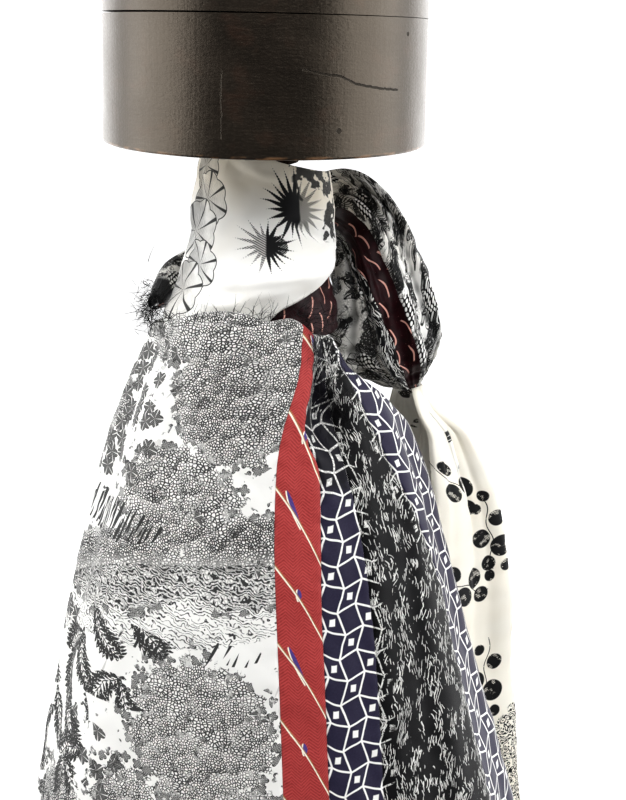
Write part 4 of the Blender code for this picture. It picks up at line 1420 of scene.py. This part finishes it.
# Clumps of the engraved print: millimetres left of the seam and down from the top edge.
CLUMPS = table(
    "left down half_across half_down lean tone",
    (30, 40, 46, 58, 12, 0.80),
    (88, 14, 40, 22, 0, 0.55),
    (150, 70, 34, 26, -20, 0.72),
    (60, 118, 44, 34, 0, 0.66),
    (20, 150, 40, 30, 10, 0.85),
    (110, 168, 66, 24, 10, 0.88),
    (50, 255, 50, 48, -8, 0.62),
    (22, 330, 46, 50, 0, 0.58),
    (92, 320, 34, 44, 20, 0.52),
    (160, 330, 34, 30, 0, 0.80),
    (70, 400, 60, 44, 10, 0.60),
    (170, 420, 60, 40, 8, 0.74),
    (215, 250, 30, 50, 0, 0.62),
    (225, 120, 24, 40, 0, 0.50),
)
LEAFY_PLACES = table(
    "left down half_across half_down share",
    (112, 40, 38, 36, 0.95),
    (140, 96, 40, 28, 0.95),
    (98, 76, 26, 36, 0.80),
    (186, 200, 30, 30, 0.7),
    (126, 286, 26, 30, 0.5),
    (190, 380, 40, 26, 0.6),
)
SPRAY_PLACES = table(
    "left down half_across half_down share",
    (110, 222, 56, 26, 0.85),
    (165, 262, 40, 40, 0.95),
    (185, 300, 40, 30, 0.85),
    (208, 60, 30, 40, 0.6),
    (110, 372, 44, 24, 0.6),
    (40, 458, 60, 22, 0.7),
)
GRASS_PLACES = table(
    "left down half_across half_down share",
    (118, 138, 44, 13, 0.98),
    (40, 205, 50, 8, 0.3),
    (140, 392, 40, 12, 0.6),
)
GROUND_PLACES = table(
    "left down half_across half_down lean share",
    (60, 180, 120, 26, 9, 1.0),
    (190, 205, 70, 20, 9, 1.0),
    (120, 440, 130, 16, -6, 1.0),
)


def soft_spots(rows, value, left, down):
    """Soft oval spots on the cloth: the strongest of those that cover each place."""
    total = np.zeros(left.shape)
    tilts = rows.get("lean", np.zeros(len(rows["left"])))
    for i, tilt in enumerate(np.radians(tilts)):
        x = left - rows["left"][i]
        y = down - rows["down"][i]
        across = (x * math.cos(tilt) + y * math.sin(tilt)) / rows["half_across"][i]
        along = (y * math.cos(tilt) - x * math.sin(tilt)) / rows["half_down"][i]
        out = np.sqrt(across**2 + along**2)
        total = np.maximum(total, rows[value][i] * ease((1.3 - out) / 0.7))
    return total


def outward_ways(surface, angles, downs):
    """The way out of a surface at each place, from the surface itself."""
    small_angle, small_down = 0.05, 0.0005
    along = surface(angles + small_angle, downs) - surface(angles - small_angle, downs)
    downward = surface(angles, downs + small_down) - surface(angles, downs - small_down)
    return unit(np.cross(downward, along))


def ripples(x, y, size, seed):
    """Uneven soft ripples between about -1 and 1, the same each time."""
    total = np.zeros(np.broadcast(x, y).shape)
    for number in range(5):
        turn = seed + number * 2.4
        pitch = size * (0.7 + 0.22 * number)
        along = x * math.cos(turn) + y * math.sin(turn)
        total = total + np.sin(along * (2 * math.pi / pitch) + seed * 3.1 + number * 1.7)
    return total / 3.0


# Finer folds of the front panel: angle and width in degrees, height of each end.
FINE_FRONT_FOLDS = table(
    "angle_above angle_below above below width depth",
    (-12, -16, 0.545, 0.470, 5, 0.0014),
    (-30, -36, 0.540, 0.420, 6, -0.0016),
    (-44, -48, 0.536, 0.300, 5, 0.0014),
    (-66, -78, 0.530, 0.250, 6, -0.0022),
    (-80, -90, 0.525, 0.120, 6, 0.0026),
    (-112, -114, 0.520, 0.080, 6, -0.0030),
    (8, 2, 0.520, 0.330, 5, 0.0010),
    (30, 24, 0.430, 0.150, 4, -0.0010),
    (40, 33, 0.520, 0.250, 4, 0.0012),
    (52, 40, 0.470, 0.100, 4, -0.0016),
    (66, 60, 0.440, 0.090, 4, 0.0018),
    (80, 78, 0.420, 0.080, 5, -0.0024),
)
SEAM_GROOVE = 0.0006
SEAM_GROOVE_HALF = 0.0013
PUCKER = 0.00028
PUCKER_PITCH = 0.011


def fine_front(angles, downs, from_seams):
    """The front panel with finer folds, and a groove with puckers along each seam."""
    points = front_panel(angles, downs)
    heights = points[..., 2]
    push = folds(FINE_FRONT_FOLDS, angles, heights)
    push = push + 0.0005 * ripples(points[..., 0], heights, 0.038, 1.0)
    push = push + 0.00022 * ripples(points[..., 0], heights, 0.013, 4.0)
    near_seam = np.exp(-((from_seams / SEAM_GROOVE_HALF) ** 2))
    beside = np.exp(-((from_seams / (3.5 * SEAM_GROOVE_HALF)) ** 2))
    push = push - SEAM_GROOVE * near_seam
    push = push + PUCKER * beside * np.sin(heights * (2 * math.pi / PUCKER_PITCH))
    push = push * ease((downs + 0.05) / 0.08)
    return points + outward_ways(front_panel, angles, downs) * push[..., None]


FINE_FRONT_ROWS = np.concatenate(
    [np.linspace(-1.0, -0.1, 8), np.linspace(0.0, 0.3, 80), np.linspace(0.3, 1.0, 130)[1:]]
)[:, None]
FRONT_ORIGIN_ROW = 8
# Strips of the front panel: the edges that each lies between, and its columns of points.
FRONT_STRIPS = {
    "front_toile": ("left", "toile_red", 130),
    "front_red_strip": ("toile_red", "red_navy", 20),
    "front_navy_strip": ("red_navy", "navy_dark", 32),
    "front_dark_strip": ("navy_dark", "dark_edge", 40),
    "front_navy_edge": ("dark_edge", "right", 48),
}
TOILE_CROWDING = 1.15
FAR_FROM_SEAM = 1.0


def front_strip(name):
    """The fine points of a strip, and lengths of cloth across it from its left edge."""
    start, end, columns = FRONT_STRIPS[name]
    shares = np.linspace(0, 1, columns)[None, :]
    if name == "front_toile":
        shares = 1 - (1 - shares) ** TOILE_CROWDING
    angles = front_strip_angles(start, end, shares, FINE_FRONT_ROWS)
    downs = FINE_FRONT_ROWS + 0 * angles
    across = measured_across(front_panel(angles, downs))
    from_left = across + (FAR_FROM_SEAM if start == "left" else 0.0)
    from_right = across[:, -1:] - across + (FAR_FROM_SEAM if end == "right" else 0.0)
    return fine_front(angles, downs, np.minimum(from_left, from_right)), across


def foliage_places(left, below_top):
    """How much of each kind of foliage the white cotton holds, by millimetres of cloth."""
    return {
        "tone": soft_spots(CLUMPS, "tone", left, below_top),
        "leafy": soft_spots(LEAFY_PLACES, "share", left, below_top),
        "spray": soft_spots(SPRAY_PLACES, "share", left, below_top),
        "grass": soft_spots(GRASS_PLACES, "share", left, below_top),
        "ground": soft_spots(GROUND_PLACES, "share", left, below_top),
    }


def front_cloth():
    """The five strips of the front panel. The net runs on from the navy strips into the dark
    one between them, so their cloth is also measured from the fold and from the edge."""
    grids = {name: front_strip(name) for name in FRONT_STRIPS}
    widths = {name: across[:, -1:] for name, (points, across) in grids.items()}
    from_fold = {
        "front_toile": -widths["front_toile"],
        "front_dark_strip": widths["front_navy_strip"],
        "front_navy_edge": widths["front_navy_strip"] + widths["front_dark_strip"],
    }
    from_edge = {"front_dark_strip": -widths["front_dark_strip"]}
    net_at_fold = navy_tie("navy_tie_silk", "cloth", 112.0)
    net_at_edge = navy_tie("navy_tie_edge", "edge", 14.0)
    made = {
        "front_toile": (engraved_foliage(), "toile_cotton", (0.245, 0.475)),
        "front_red_strip": (red_tie(), "red_tie_silk", (0.025, 0.470)),
        "front_navy_strip": (net_at_fold, "navy_tie_silk", (0.030, 0.475)),
        "front_dark_strip": (dark_print(), "dark_print_silk", (0.063, 0.475)),
        "front_navy_edge": (net_at_edge, "navy_tie_silk", (0.053, 0.465)),
    }
    reverse = leaf_print("cream_reverse", 0.35, CREAM)
    crest = FRONT_TOP["height"].max()
    sheets = {}
    for name, (finish, slot, flat) in made.items():
        points, across = grids[name]
        top = points[FRONT_ORIGIN_ROW, :, 2][None, :]
        down = measured_down(points, FRONT_ORIGIN_ROW) + crest - top
        uvs = {
            "cloth": np.stack([across + from_fold.get(name, 0.0), down], axis=-1),
            "strip": np.stack([across, down], axis=-1),
            "edge": np.stack([across + from_edge.get(name, 0.0), down], axis=-1),
        }
        attributes = {}
        if name == "front_toile":
            attributes = foliage_places(-uvs["cloth"][..., 0] * MM, down * MM)
        sheets[name] = lay_cloth(name + "_cloth", points, uvs, attributes, (finish, reverse))
    threads = frayed_threads()
    for name, (finish, slot, flat) in made.items():
        frayed = (threads,) if name == "front_dark_strip" else ()
        declare(sheets[name], name, slot, flat)


# Finer creases of the stretch round the neck: each runs from one angle and height to another.
FINE_WRAP_CREASES = table(
    "from_angle from_height to_angle to_height width depth",
    (-30, 0.6300, 16, 0.6170, 0.0028, -0.0016),
    (-20, 0.6260, 30, 0.6215, 0.0030, 0.0010),
    (24, 0.5965, 64, 0.5830, 0.0026, -0.0016),
    (18, 0.6020, 58, 0.5950, 0.0030, 0.0012),
    (-4, 0.5650, 60, 0.5800, 0.0034, 0.0014),
    (-24, 0.5560, 30, 0.5640, 0.0034, -0.0012),
    (-60, 0.5480, -10, 0.5500, 0.0040, 0.0018),
    (-88, 0.5600, -40, 0.5460, 0.0040, -0.0016),
    (-84, 0.6100, -58, 0.5800, 0.0045, 0.0018),
    (-70, 0.6240, -52, 0.5960, 0.0040, -0.0014),
    (-150, 0.6150, -100, 0.5900, 0.0050, -0.0016),
    (-220, 0.6050, -150, 0.5900, 0.0050, 0.0016),
    (-250, 0.5900, -170, 0.5700, 0.0050, -0.0016),
)


def fine_wrap(angles, downs):
    """The cream stretch round the neck with finer creases and soft ripples."""
    points = wrap(angles, downs)
    heights = points[..., 2]
    push = creases(FINE_WRAP_CREASES, angles, heights, WRAP_MEAN_RADIUS)
    across = np.radians(angles) * WRAP_MEAN_RADIUS
    push = push + 0.0003 * ripples(across, heights, 0.016, 2.0)
    push = push * ease(downs / 0.05)
    return points + outward_ways(wrap, angles, downs) * push[..., None]


# Stretches of the cream wrap: the angles that each lies between, its columns and flat size.
WRAP_STRETCHES = (
    ("neck_wrap_front", WRAP_SPLIT, WRAP_FREE_END, 150, (0.165, 0.090)),
    ("neck_wrap_back", WRAP_TUCKED_END, WRAP_SPLIT, 100, (0.140, 0.075)),
)
WRAP_PRINT_RADIUS = 0.043


def wrap_cloth():
    """The cream stretch round the neck, in two parts."""
    rows = np.concatenate([np.linspace(0, 1, 76), np.linspace(1.1, 2, 8)])[:, None]
    finish = wrap_print()
    for name, start, end, columns, flat in WRAP_STRETCHES:
        angles = np.linspace(start, end, columns)[None, :] + 0 * rows
        downs = rows + 0 * angles
        across = np.radians(angles) * WRAP_PRINT_RADIUS
        uvs = {"cloth": np.stack([across, measured_down(wrap(angles, downs))], axis=-1)}
        sheet = lay_cloth(name + "_cloth", fine_wrap(angles, downs), uvs, {}, (finish,))
        declare(sheet, name, "cream_print_silk", flat)


def under_wrap_cloth(maroon_silk):
    """The dark stretch below the cream one."""
    rows = np.linspace(0, 1, 30)[:, None]
    angles = np.linspace(0.0, UNDER_END, 56)[None, :] + 0 * rows
    downs = rows + 0 * angles
    points = under_wrap(angles, downs)
    push = 0.0007 * ripples(angles * 0.0007, points[..., 2], 0.011, 5.0) - 0.0004
    points = points + outward_ways(under_wrap, angles, downs) * push[..., None]
    uvs = {"cloth": np.stack([measured_across(points), measured_down(points)], axis=-1)}
    sheet = lay_cloth("neck_under_wrap_cloth", points, uvs, {}, (maroon_silk,))
    flat = (0.060, 0.036)
    declare(sheet, "neck_under_wrap", "maroon_tie_silk", flat)


# Finer pleats along the roll: angle round its section, width in degrees, height and drift.
FINE_ROLL_PLEATS = table(
    "angle width height drift",
    (-100, 6, 0.0016, 30),
    (-78, 5, -0.0022, -14),
    (-66, 5, 0.0018, 26),
    (-40, 4, -0.0014, -12),
    (-22, 4, -0.0016, 22),
    (8, 4, 0.0012, -18),
    (32, 5, -0.0026, 30),
    (42, 4, 0.0014, -26),
    (56, 5, -0.0024, 36),
    (64, 4, 0.0018, -20),
    (82, 6, 0.0026, 26),
    (106, 6, -0.0030, -16),
    (130, 6, 0.0020, 20),
)


def fine_roll(angles, downs):
    """The roll with finer pleats along it and short creases where it is pulled in."""
    points = roll_surface(angles, downs)
    half_across = roll_frame(downs)[3]
    push = np.zeros(angles.shape)
    for at, width, height, drift in rows_of(FINE_ROLL_PLEATS):
        crest = at + drift * (downs - ROLL_DRIFT_FROM)
        crest = crest + 4.0 * np.sin(downs * 17.0 + at)
        push = push + height * np.exp(-(((angles - crest) / width) ** 2))
    gather = np.minimum(half_across / 0.020, 1.0) ** 2
    pulled = ease((downs - 0.45) / 0.2)
    cross = ripples(downs * 0.30 + angles * 0.0002, angles * 0.00022, 0.017, 3.0)
    push = push * gather + 0.0009 * cross * pulled * gather
    # How deep each place lies in a pleat's valley, used as painted shade on the roll's prints.
    crease_shade = ease((-push - 0.0006) / 0.0020)
    return points + outward_ways(roll_surface, angles, downs) * push[..., None], crease_shade


# Strips of the roll: the seams that each lies between, its columns, material and flat size.
ROLL_STRIPS = (
    ("roll_inner_cream", None, "cream_dark", 56, "cream_print_silk", (0.022, 0.235)),
    ("roll_dark_strip", "cream_dark", "dark_maroon", 26, "dark_print_silk", (0.010, 0.235)),
    ("roll_maroon_strip", "dark_maroon", "maroon_outer", 30, "maroon_tie_silk", (0.015, 0.240)),
    ("roll_outer_cream", "maroon_outer", None, 100, "cream_print_silk", (0.066, 0.250)),
)


def roll_cloth(maroon_silk):
    """The four strips of the pleated roll."""
    rows = np.linspace(0, 1, 190)[:, None]
    finishes = {
        "roll_inner_cream": leaf_print("cream_inner_silk", 0.66, WHITE, 0.4, 26.0),
        "roll_dark_strip": dark_strip_of_roll(),
        "roll_maroon_strip": maroon_silk,
        "roll_outer_cream": leaf_print("cream_outer_silk", 0.80, WHITE, 0.7, 26.0),
    }
    for name, start, end, columns, slot, flat in ROLL_STRIPS:
        shares = np.linspace(0, 1, columns)[None, :]
        angles = roll_strip_angles(start, end, shares, rows)
        points, crease_shade = fine_roll(angles, rows + 0 * angles)
        uvs = {"cloth": np.stack([measured_across(points), measured_down(points)], axis=-1)}
        sheet = lay_cloth(name + "_cloth", points, uvs, {"crease_shade": crease_shade}, (finishes[name],))
        declare(sheet, name, slot, flat)


def dark_strip_of_roll():
    """Black silk with light strokes, as it shows between the cream and the maroon."""
    finish = Finish("dark_roll_silk", 0.5, sheen=0.04)
    x, y = finish.cloth_place()
    strokes = fur_strokes(x, y, 0.70)
    finish.paint(FUR_AND_FOLD_SHADE_BLACK, (strokes, STROKE_WHITE))
    finish.relief(strokes + weave(x, y) * 0.3, 0.08)
    return finish.material


# Pleats of the hanging end, which start at the knot and soften on their way down.
TAIL_PLEATS = table(
    "angle width depth drift",
    (18, 4.0, 0.0022, -10),
    (-2, 4.5, -0.0022, -8),
    (30, 4.0, -0.0020, -6),
    (44, 4.5, 0.0026, -4),
    (58, 4.0, -0.0024, 2),
    (72, 5.0, 0.0026, 4),
    (88, 4.5, -0.0026, 6),
    (104, 5.0, 0.0026, 8),
    (122, 5.0, -0.0028, 10),
    (140, 5.5, 0.0028, 8),
    (158, 5.0, -0.0028, 6),
    (176, 5.5, 0.0028, 2),
    (196, 5.0, -0.0026, -2),
    (214, 5.5, 0.0026, -4),
)


def fine_tail(angles, downs):
    """The hanging end with finer pleats and soft ripples."""
    points = tail(angles, downs)
    push = np.zeros(angles.shape)
    for at, width, depth, drift in rows_of(TAIL_PLEATS):
        crest = at + drift * downs
        spread = width * (1.0 + 0.7 * downs)
        push = push + depth * np.exp(-(((angles - crest) / spread) ** 2))
    fade = ease(downs / 0.10) * (1.0 - 0.55 * ease((downs - 0.15) / 0.8))
    push = push * fade
    push = push + 0.0012 * ripples(points[..., 0], points[..., 2], 0.075, 6.0) * ease(downs / 0.2)
    push = push + 0.0004 * ripples(points[..., 1], points[..., 2], 0.022, 2.0) * ease(downs / 0.1)
    return points + outward_ways(tail, angles, downs) * push[..., None]


def nearest_uv(points, uv, place):
    """The place on the cloth whose point lies nearest to a place in space."""
    off = np.linalg.norm(points - np.array(place), axis=-1)
    return uv[np.unravel_index(off.argmin(), off.shape)].tolist()


# Where the patch of engraved lines at the tail's edge lies, and how far it reaches.
ENGRAVED_PLACE = (0.175, 0.03, 0.230)
ENGRAVED_REACH = (0.030, 0.060, 0.045)


def tail_cloth():
    """The cream end behind."""
    rows = np.concatenate([np.linspace(0, 0.2, 60), np.linspace(0.2, 1, 110)[1:]])[:, None]
    angles = np.linspace(TAIL_START, TAIL_END, 230)[None, :] + 0 * rows
    points = fine_tail(angles, rows + 0 * angles)
    smooth = tail(angles, rows + 0 * angles)
    across = measured_across(smooth)
    middle = across[:, across.shape[1] // 2][:, None]
    uv = np.stack([across - middle, measured_down(smooth)], axis=-1)
    places = [nearest_uv(points, uv, row[:3]) for row in rows_of(SPRIGS)]
    finishes = (tail_print(places), leaf_print("patchwork_reverse", 0.12, WHITE))
    off = np.linalg.norm((points - np.array(ENGRAVED_PLACE)) / np.array(ENGRAVED_REACH), axis=-1)
    engraved = {"engraved": ease((1.3 - off) / 0.7)}
    sheet = lay_cloth("tail_cream_cloth", points, {"cloth": uv}, engraved, finishes)
    flat = (0.290, 0.395)
    declare(sheet, "tail_cream", "cream_print_silk", flat)


# Frayed dark threads: where a tuft starts, how many and how long they are, in metres, and
# the way they mostly point.
TUFTS = table(
    "x y z spread_x spread_z number long way_x way_y way_z",
    (-0.022, -0.0575, 0.5440, 0.024, 0.0015, 70, 0.0090, -0.2, -0.5, 1.0),
    (0.006, -0.0555, 0.5445, 0.014, 0.0015, 60, 0.0110, 0.3, -0.4, 1.0),
    (0.030, -0.0460, 0.5430, 0.007, 0.0040, 90, 0.0110, 0.4, -0.9, 0.5),
    (0.037, -0.0500, 0.5300, 0.006, 0.0080, 120, 0.0110, 0.3, -0.9, -0.5),
    (0.042, -0.0530, 0.5080, 0.007, 0.0110, 120, 0.0110, 0.3, -0.8, -1.0),
    (0.047, -0.0540, 0.4900, 0.009, 0.0120, 80, 0.0100, 0.2, -0.8, -1.2),
    (-0.066, -0.0080, 0.5400, 0.0035, 0.0070, 420, 0.0070, -0.3, -0.6, -0.1),
    (-0.054, -0.0300, 0.5340, 0.008, 0.0030, 90, 0.0085, -0.6, -0.7, 0.6),
)
THREAD_WIDTH = 0.00042
THREAD_STEPS = 4
THREAD_SEED = 7


def frayed_threads():
    """Fine dark threads that stand out where the dark strip and the torn edges fray."""
    chance = np.random.default_rng(THREAD_SEED)
    corners, faces = [], []
    for x, y, z, spread_x, spread_z, number, long, *way in rows_of(TUFTS):
        for _ in range(int(number)):
            start = Vector((x, y, z))
            start += Vector((chance.normal(0, spread_x), 0, chance.normal(0, spread_z)))
            heading = Vector(way) + Vector(chance.normal(0, 0.55, 3))
            heading.normalize()
            bend = Vector(chance.normal(0, 0.45, 3))
            reach = long * chance.uniform(0.5, 1.3)
            side = heading.cross(Vector(chance.normal(0, 1, 3))).normalized() * THREAD_WIDTH / 2
            base = len(corners)
            for step in range(THREAD_STEPS + 1):
                share = step / THREAD_STEPS
                place = start + heading * (reach * share) + bend * (reach * share * share * 0.6)
                thin = side * (1.0 - 0.7 * share)
                corners += [place - thin, place + thin]
            for step in range(THREAD_STEPS):
                a = base + 2 * step
                faces.append((a, a + 1, a + 3, a + 2))
    mesh = bpy.data.meshes.new("frayed_threads")
    mesh.from_pydata([tuple(corner) for corner in corners], [], faces)
    finish = Finish("frayed_thread", 0.6)
    finish.paint(INK)
    mesh.materials.append(finish.material)
    threads = bpy.data.objects.new("frayed_threads", mesh)
    bpy.context.scene.collection.objects.link(threads)
    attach(threads, "root")
    return threads


# The crack round the front of the head block, in degrees and millimetres above the table.
BLOCK_CRACK = table(
    "angle height",
    (14.4, 689.7),
    (20.6, 687.5),
    (27.1, 686.2),
    (33.3, 681.6),
    (42.8, 678.7),
    (53.3, 676.7),
)
# Nail holes of the head block: degrees, millimetres above the table and radius.
BLOCK_HOLES = ((58.7, 707.5, 1.3), (27.1, 656.0, 1.5), (14.4, 689.7, 0.9), (-152.0, 672.0, 1.3))


def turned_way(finish, x, y):
    """The way a turned upright side faces, smooth all round, and the mesh's own elsewhere."""
    geometry = finish.tree.nodes.new("ShaderNodeNewGeometry")
    own_way = geometry.outputs["Normal"]
    rise = split(finish.tree, own_way)[2]
    out = length(x, y)
    choice = finish.tree.nodes.new("ShaderNodeMix")
    choice.data_type = "VECTOR"
    finish.tree.links.new(above(size_of(rise), 0.06, 0.02).socket, choice.inputs["Factor"])
    turned, own = (choice.inputs[number] for number in VECTOR_INPUTS)
    finish.tree.links.new(joined(finish.tree, x / out, y / out), turned)
    finish.tree.links.new(own_way, own)
    return choice.outputs[VECTOR_OUTPUT]


def wood_flaws(around, z, marks):
    """The crack, a hair crack at the left and the nail holes, as one share."""
    angles = (np.radians(BLOCK_CRACK["angle"]) * BLOCK_RADIUS * MM).tolist()
    heights = BLOCK_CRACK["height"].tolist()
    crack = []
    for start, end, low, high in zip(angles, angles[1:], heights, heights[1:]):
        line = z - (around - start) * ((high - low) / (end - start)) - low
        here = above(around, start, 0.02) * below(around, end, 0.02)
        crack.append(below(size_of(line + (marks - 0.5) * 1.2), 0.60, 0.25) * here)
    hair_x = around + 21.8 + (noise(around, z, 9.0, 3.0) - 0.5) * 5.0
    hair = below(size_of(hair_x), 0.22, 0.2) * below(z, 688.0, 2.0) * above(z, 652.0, 2.0)
    holes = []
    for angle, height, radius in BLOCK_HOLES:
        place = math.radians(angle) * BLOCK_RADIUS * MM
        holes.append(above(ring_of(around, z, place, height, radius), 0.0, 0.2))
    return most(*crack, hair * 0.8, *holes)


def old_wood(name, cracked, polish):
    """Dark waxed turned wood with tool marks, worn warm edges, cracks and nail holes. The
    polish is 1 on the head block, and less where the wood is bare and browner."""
    finish = Finish(name, 0.33, coat=0.12 * polish, specular=0.80 * polish)
    finish.shader.inputs["Specular Tint"].default_value = WAX_TINT
    x, y, z = finish.object_place()
    around = bearing(-y, x) * (BLOCK_RADIUS * MM)
    out = length(x, y)
    marks = noise(around, z * 0.06, 1.6, 1.0, 2.0)
    lathe = noise(around * 0.05, z, 2.2, 4.0, 2.0)
    cloud = noise(around, z, 34.0, 2.0, 3.0)
    grain = noise(around * 0.35, z, 4.0, 6.0, 4.0)
    warm = above(noise(around, z, 22.0, 9.0, 2.0), 0.60, 0.12)
    scratch = noise(around * 0.5, z, 1.3, 13.0, 3.0)
    grit = noise(around, z, 1.0, 23.0, 1.0)
    layers = [
        (clamped(grain * 0.6 + 0.5) * (1.0 - polish), WOOD_BARE),
        (clamped(cloud * 1.6 - 0.50) * 0.9, WOOD_CLOUD),
        (clamped(marks * 1.2 - 0.60) * 0.3, WOOD_MARK),
        (warm * clamped(grain * 1.4 - 0.4) * 0.7, WOOD_WARM),
        (clamped(scratch * 2.2 - 1.25) * 0.25, WOOD_SCRATCH),
        (clamped(grain * 2.0 - 1.1), WOOD_GRAIN),
    ]
    flaws = 0.0
    height = marks * 0.3 + lathe * 0.6 + grain * 0.8 + scratch * 0.7 + grit * 0.25
    if cracked:
        rim = below(z, BLOCK_UNDERSIDE * MM + 1.8, 1.0) * above(out, BLOCK_RADIUS * MM - 3.0, 1.0)
        flaws = wood_flaws(around, z, marks)
        layers.append((rim * above(grain, 0.52, 0.15) * 0.7, WOOD_WORN))
        layers.append((flaws, WOOD_HOLE))
        height = height - flaws * 3.0
    finish.paint(WOOD_BLACK, *layers)
    finish.relief(height, 0.22, turned_way(finish, x, y))
    dullness = 0.19 + 0.25 * (1.0 - polish)
    finish.gloss(clamped(cloud * 0.20 + scratch * 0.16 + dullness + flaws * 0.5))
    return finish.material


def dress_stand():
    """The stand's own solids stay, with wood on them. Only the lower block is cracked."""
    set_finish("head_block_lower", old_wood("cracked_block_wood", True, 1.0))
    set_finish("head_block_upper", old_wood("block_wood", False, 1.0))
    bare = old_wood("stand_wood", False, 0.4)
    for node in ("stand_foot", "stand_pole", "stand_neck", "stand_collar"):
        set_finish(node, bare)


def set_finish(node, finish):
    """One material on all of a solid that came with the frame."""
    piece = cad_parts[node]
    piece = bpy.data.objects[piece] if isinstance(piece, str) else piece
    for slot in piece.material_slots:
        slot.material = finish


# The room: how far its floor is flat, the curve up into the wall, and the wall's height.
STAGE_FLAT = 3.6
STAGE_CURVE = 0.9
STAGE_HEIGHT = 4.0
STAGE_STEPS = 96
STAGE_CURVE_STEPS = 12
STAGE_MIDDLE = 0.001
STAGE_GLOW = 0.74


def stage_half(name, turn_from, turn_to):
    """Half of a pale round floor that curves up into a wall."""
    outline = [(STAGE_MIDDLE, 0.0)]
    for i in range(STAGE_CURVE_STEPS + 1):
        turn = math.radians(90 * i / STAGE_CURVE_STEPS)
        rise = STAGE_CURVE - STAGE_CURVE * math.cos(turn)
        outline.append((STAGE_FLAT + STAGE_CURVE * math.sin(turn), rise))
    outline.append((STAGE_FLAT + STAGE_CURVE, STAGE_HEIGHT))
    turns = np.radians(np.linspace(turn_from, turn_to, STAGE_STEPS))
    corners = [(r * np.cos(t), r * np.sin(t), z) for t in turns for r, z in outline]
    wide = len(outline)
    faces = [
        (step * wide + i, step * wide + i + 1, (step + 1) * wide + i + 1, (step + 1) * wide + i)
        for step in range(STAGE_STEPS - 1)
        for i in range(wide - 1)
    ]
    mesh = bpy.data.meshes.new(name)
    mesh.from_pydata(corners, [], [face[::-1] for face in faces])
    mesh.shade_smooth()
    half = bpy.data.objects.new(name, mesh)
    bpy.context.scene.collection.objects.link(half)
    return half


def stage_sweep():
    """A pale floor and wall all round. They are only seen: the softboxes and the world
    give all the light, so that every side of the object is lit alike."""
    finish = bpy.data.materials.new("pale_paper")
    finish.use_nodes = True
    shader = finish.node_tree.nodes["Principled BSDF"]
    shader.inputs["Base Color"].default_value = PAPER_WHITE
    shader.inputs["Roughness"].default_value = 0.9
    shader.inputs["Emission Color"].default_value = PLAIN_WHITE
    shader.inputs["Emission Strength"].default_value = STAGE_GLOW
    near = stage_half("pale_floor_near", 180, 360)
    far = stage_half("pale_floor_far", 0, 180)
    near.data.materials.append(finish)
    far.data.materials.append(finish)
    near.visible_diffuse = False
    near.visible_glossy = False
    far.visible_diffuse = False


def soft_light(name, place, target, width, height, power):
    """A softbox that faces a target and isn't seen itself."""
    light = bpy.data.lights.new(name, "AREA")
    light.shape = "RECTANGLE"
    light.size = width
    light.size_y = height
    light.energy = power
    lamp = bpy.data.objects.new(name, light)
    lamp.location = place
    lamp.visible_camera = False
    lamp.rotation_euler = (Vector(target) - Vector(place)).to_track_quat("-Z", "Y").to_euler()
    bpy.context.scene.collection.objects.link(lamp)


# Softboxes at both sides, behind and above: place and size in metres, power in watts.
SOFTBOXES = table(
    "x y z width height power",
    (-1.30, -0.25, 0.75, 1.4, 1.5, 18),
    (1.30, -0.25, 0.75, 1.4, 1.5, 17),
    (-0.75, 1.10, 0.75, 1.1, 1.5, 9),
    (0.75, 1.10, 0.75, 1.1, 1.5, 9),
    (0.10, -1.35, 2.05, 1.2, 0.8, 32),
)
LIT_PLACE = (0.0, 0.0, 0.5)
WORLD_LIGHT = 0.12


def light_studio():
    """Soft light from the boxes and a little from all round."""
    world = bpy.data.worlds.new("studio")
    bpy.context.scene.world = world
    world.use_nodes = True
    background = world.node_tree.nodes["Background"]
    background.inputs["Color"].default_value = PLAIN_WHITE
    background.inputs["Strength"].default_value = WORLD_LIGHT
    for x, y, z, width, height, power in rows_of(SOFTBOXES):
        soft_light("softbox", (x, y, z), LIT_PLACE, width, height, power)


# The camera as the photograph shows it: a long lens that looks down a little.
CAMERA_PLACE = (0.032087, -1.25, 0.78242)
CAMERA_DOWN = 13.5044
CAMERA_ROLL = 1.1
CAMERA_LENS = 94.5
SENSOR = 36.0


def place_camera():
    """The camera at the photograph's angle, rolled a little."""
    down, roll = math.radians(CAMERA_DOWN), math.radians(CAMERA_ROLL)
    ahead = Vector((0, math.cos(down), -math.sin(down)))
    level = Vector((1, 0, 0))
    upright = level.cross(ahead)
    right = level * math.cos(roll) + upright * math.sin(roll)
    up = upright * math.cos(roll) - level * math.sin(roll)
    turn = Matrix((right, up, -ahead)).transposed().to_4x4()
    turn.translation = Vector(CAMERA_PLACE)
    lens = bpy.data.cameras.new("camera")
    lens.lens = CAMERA_LENS
    lens.sensor_width = SENSOR
    camera = bpy.data.objects.new("camera", lens)
    camera.matrix_world = turn
    bpy.context.scene.collection.objects.link(camera)
    bpy.context.scene.camera = camera


place_camera()
light_studio()
stage_sweep()
dress_stand()
front_cloth()
wrap_cloth()
maroon_silk = maroon_tie()
under_wrap_cloth(maroon_silk)
roll_cloth(maroon_silk)
tail_cloth()
bpy.context.scene.view_settings.view_transform = "Standard"
bpy.context.scene.view_settings.look = "Medium High Contrast"
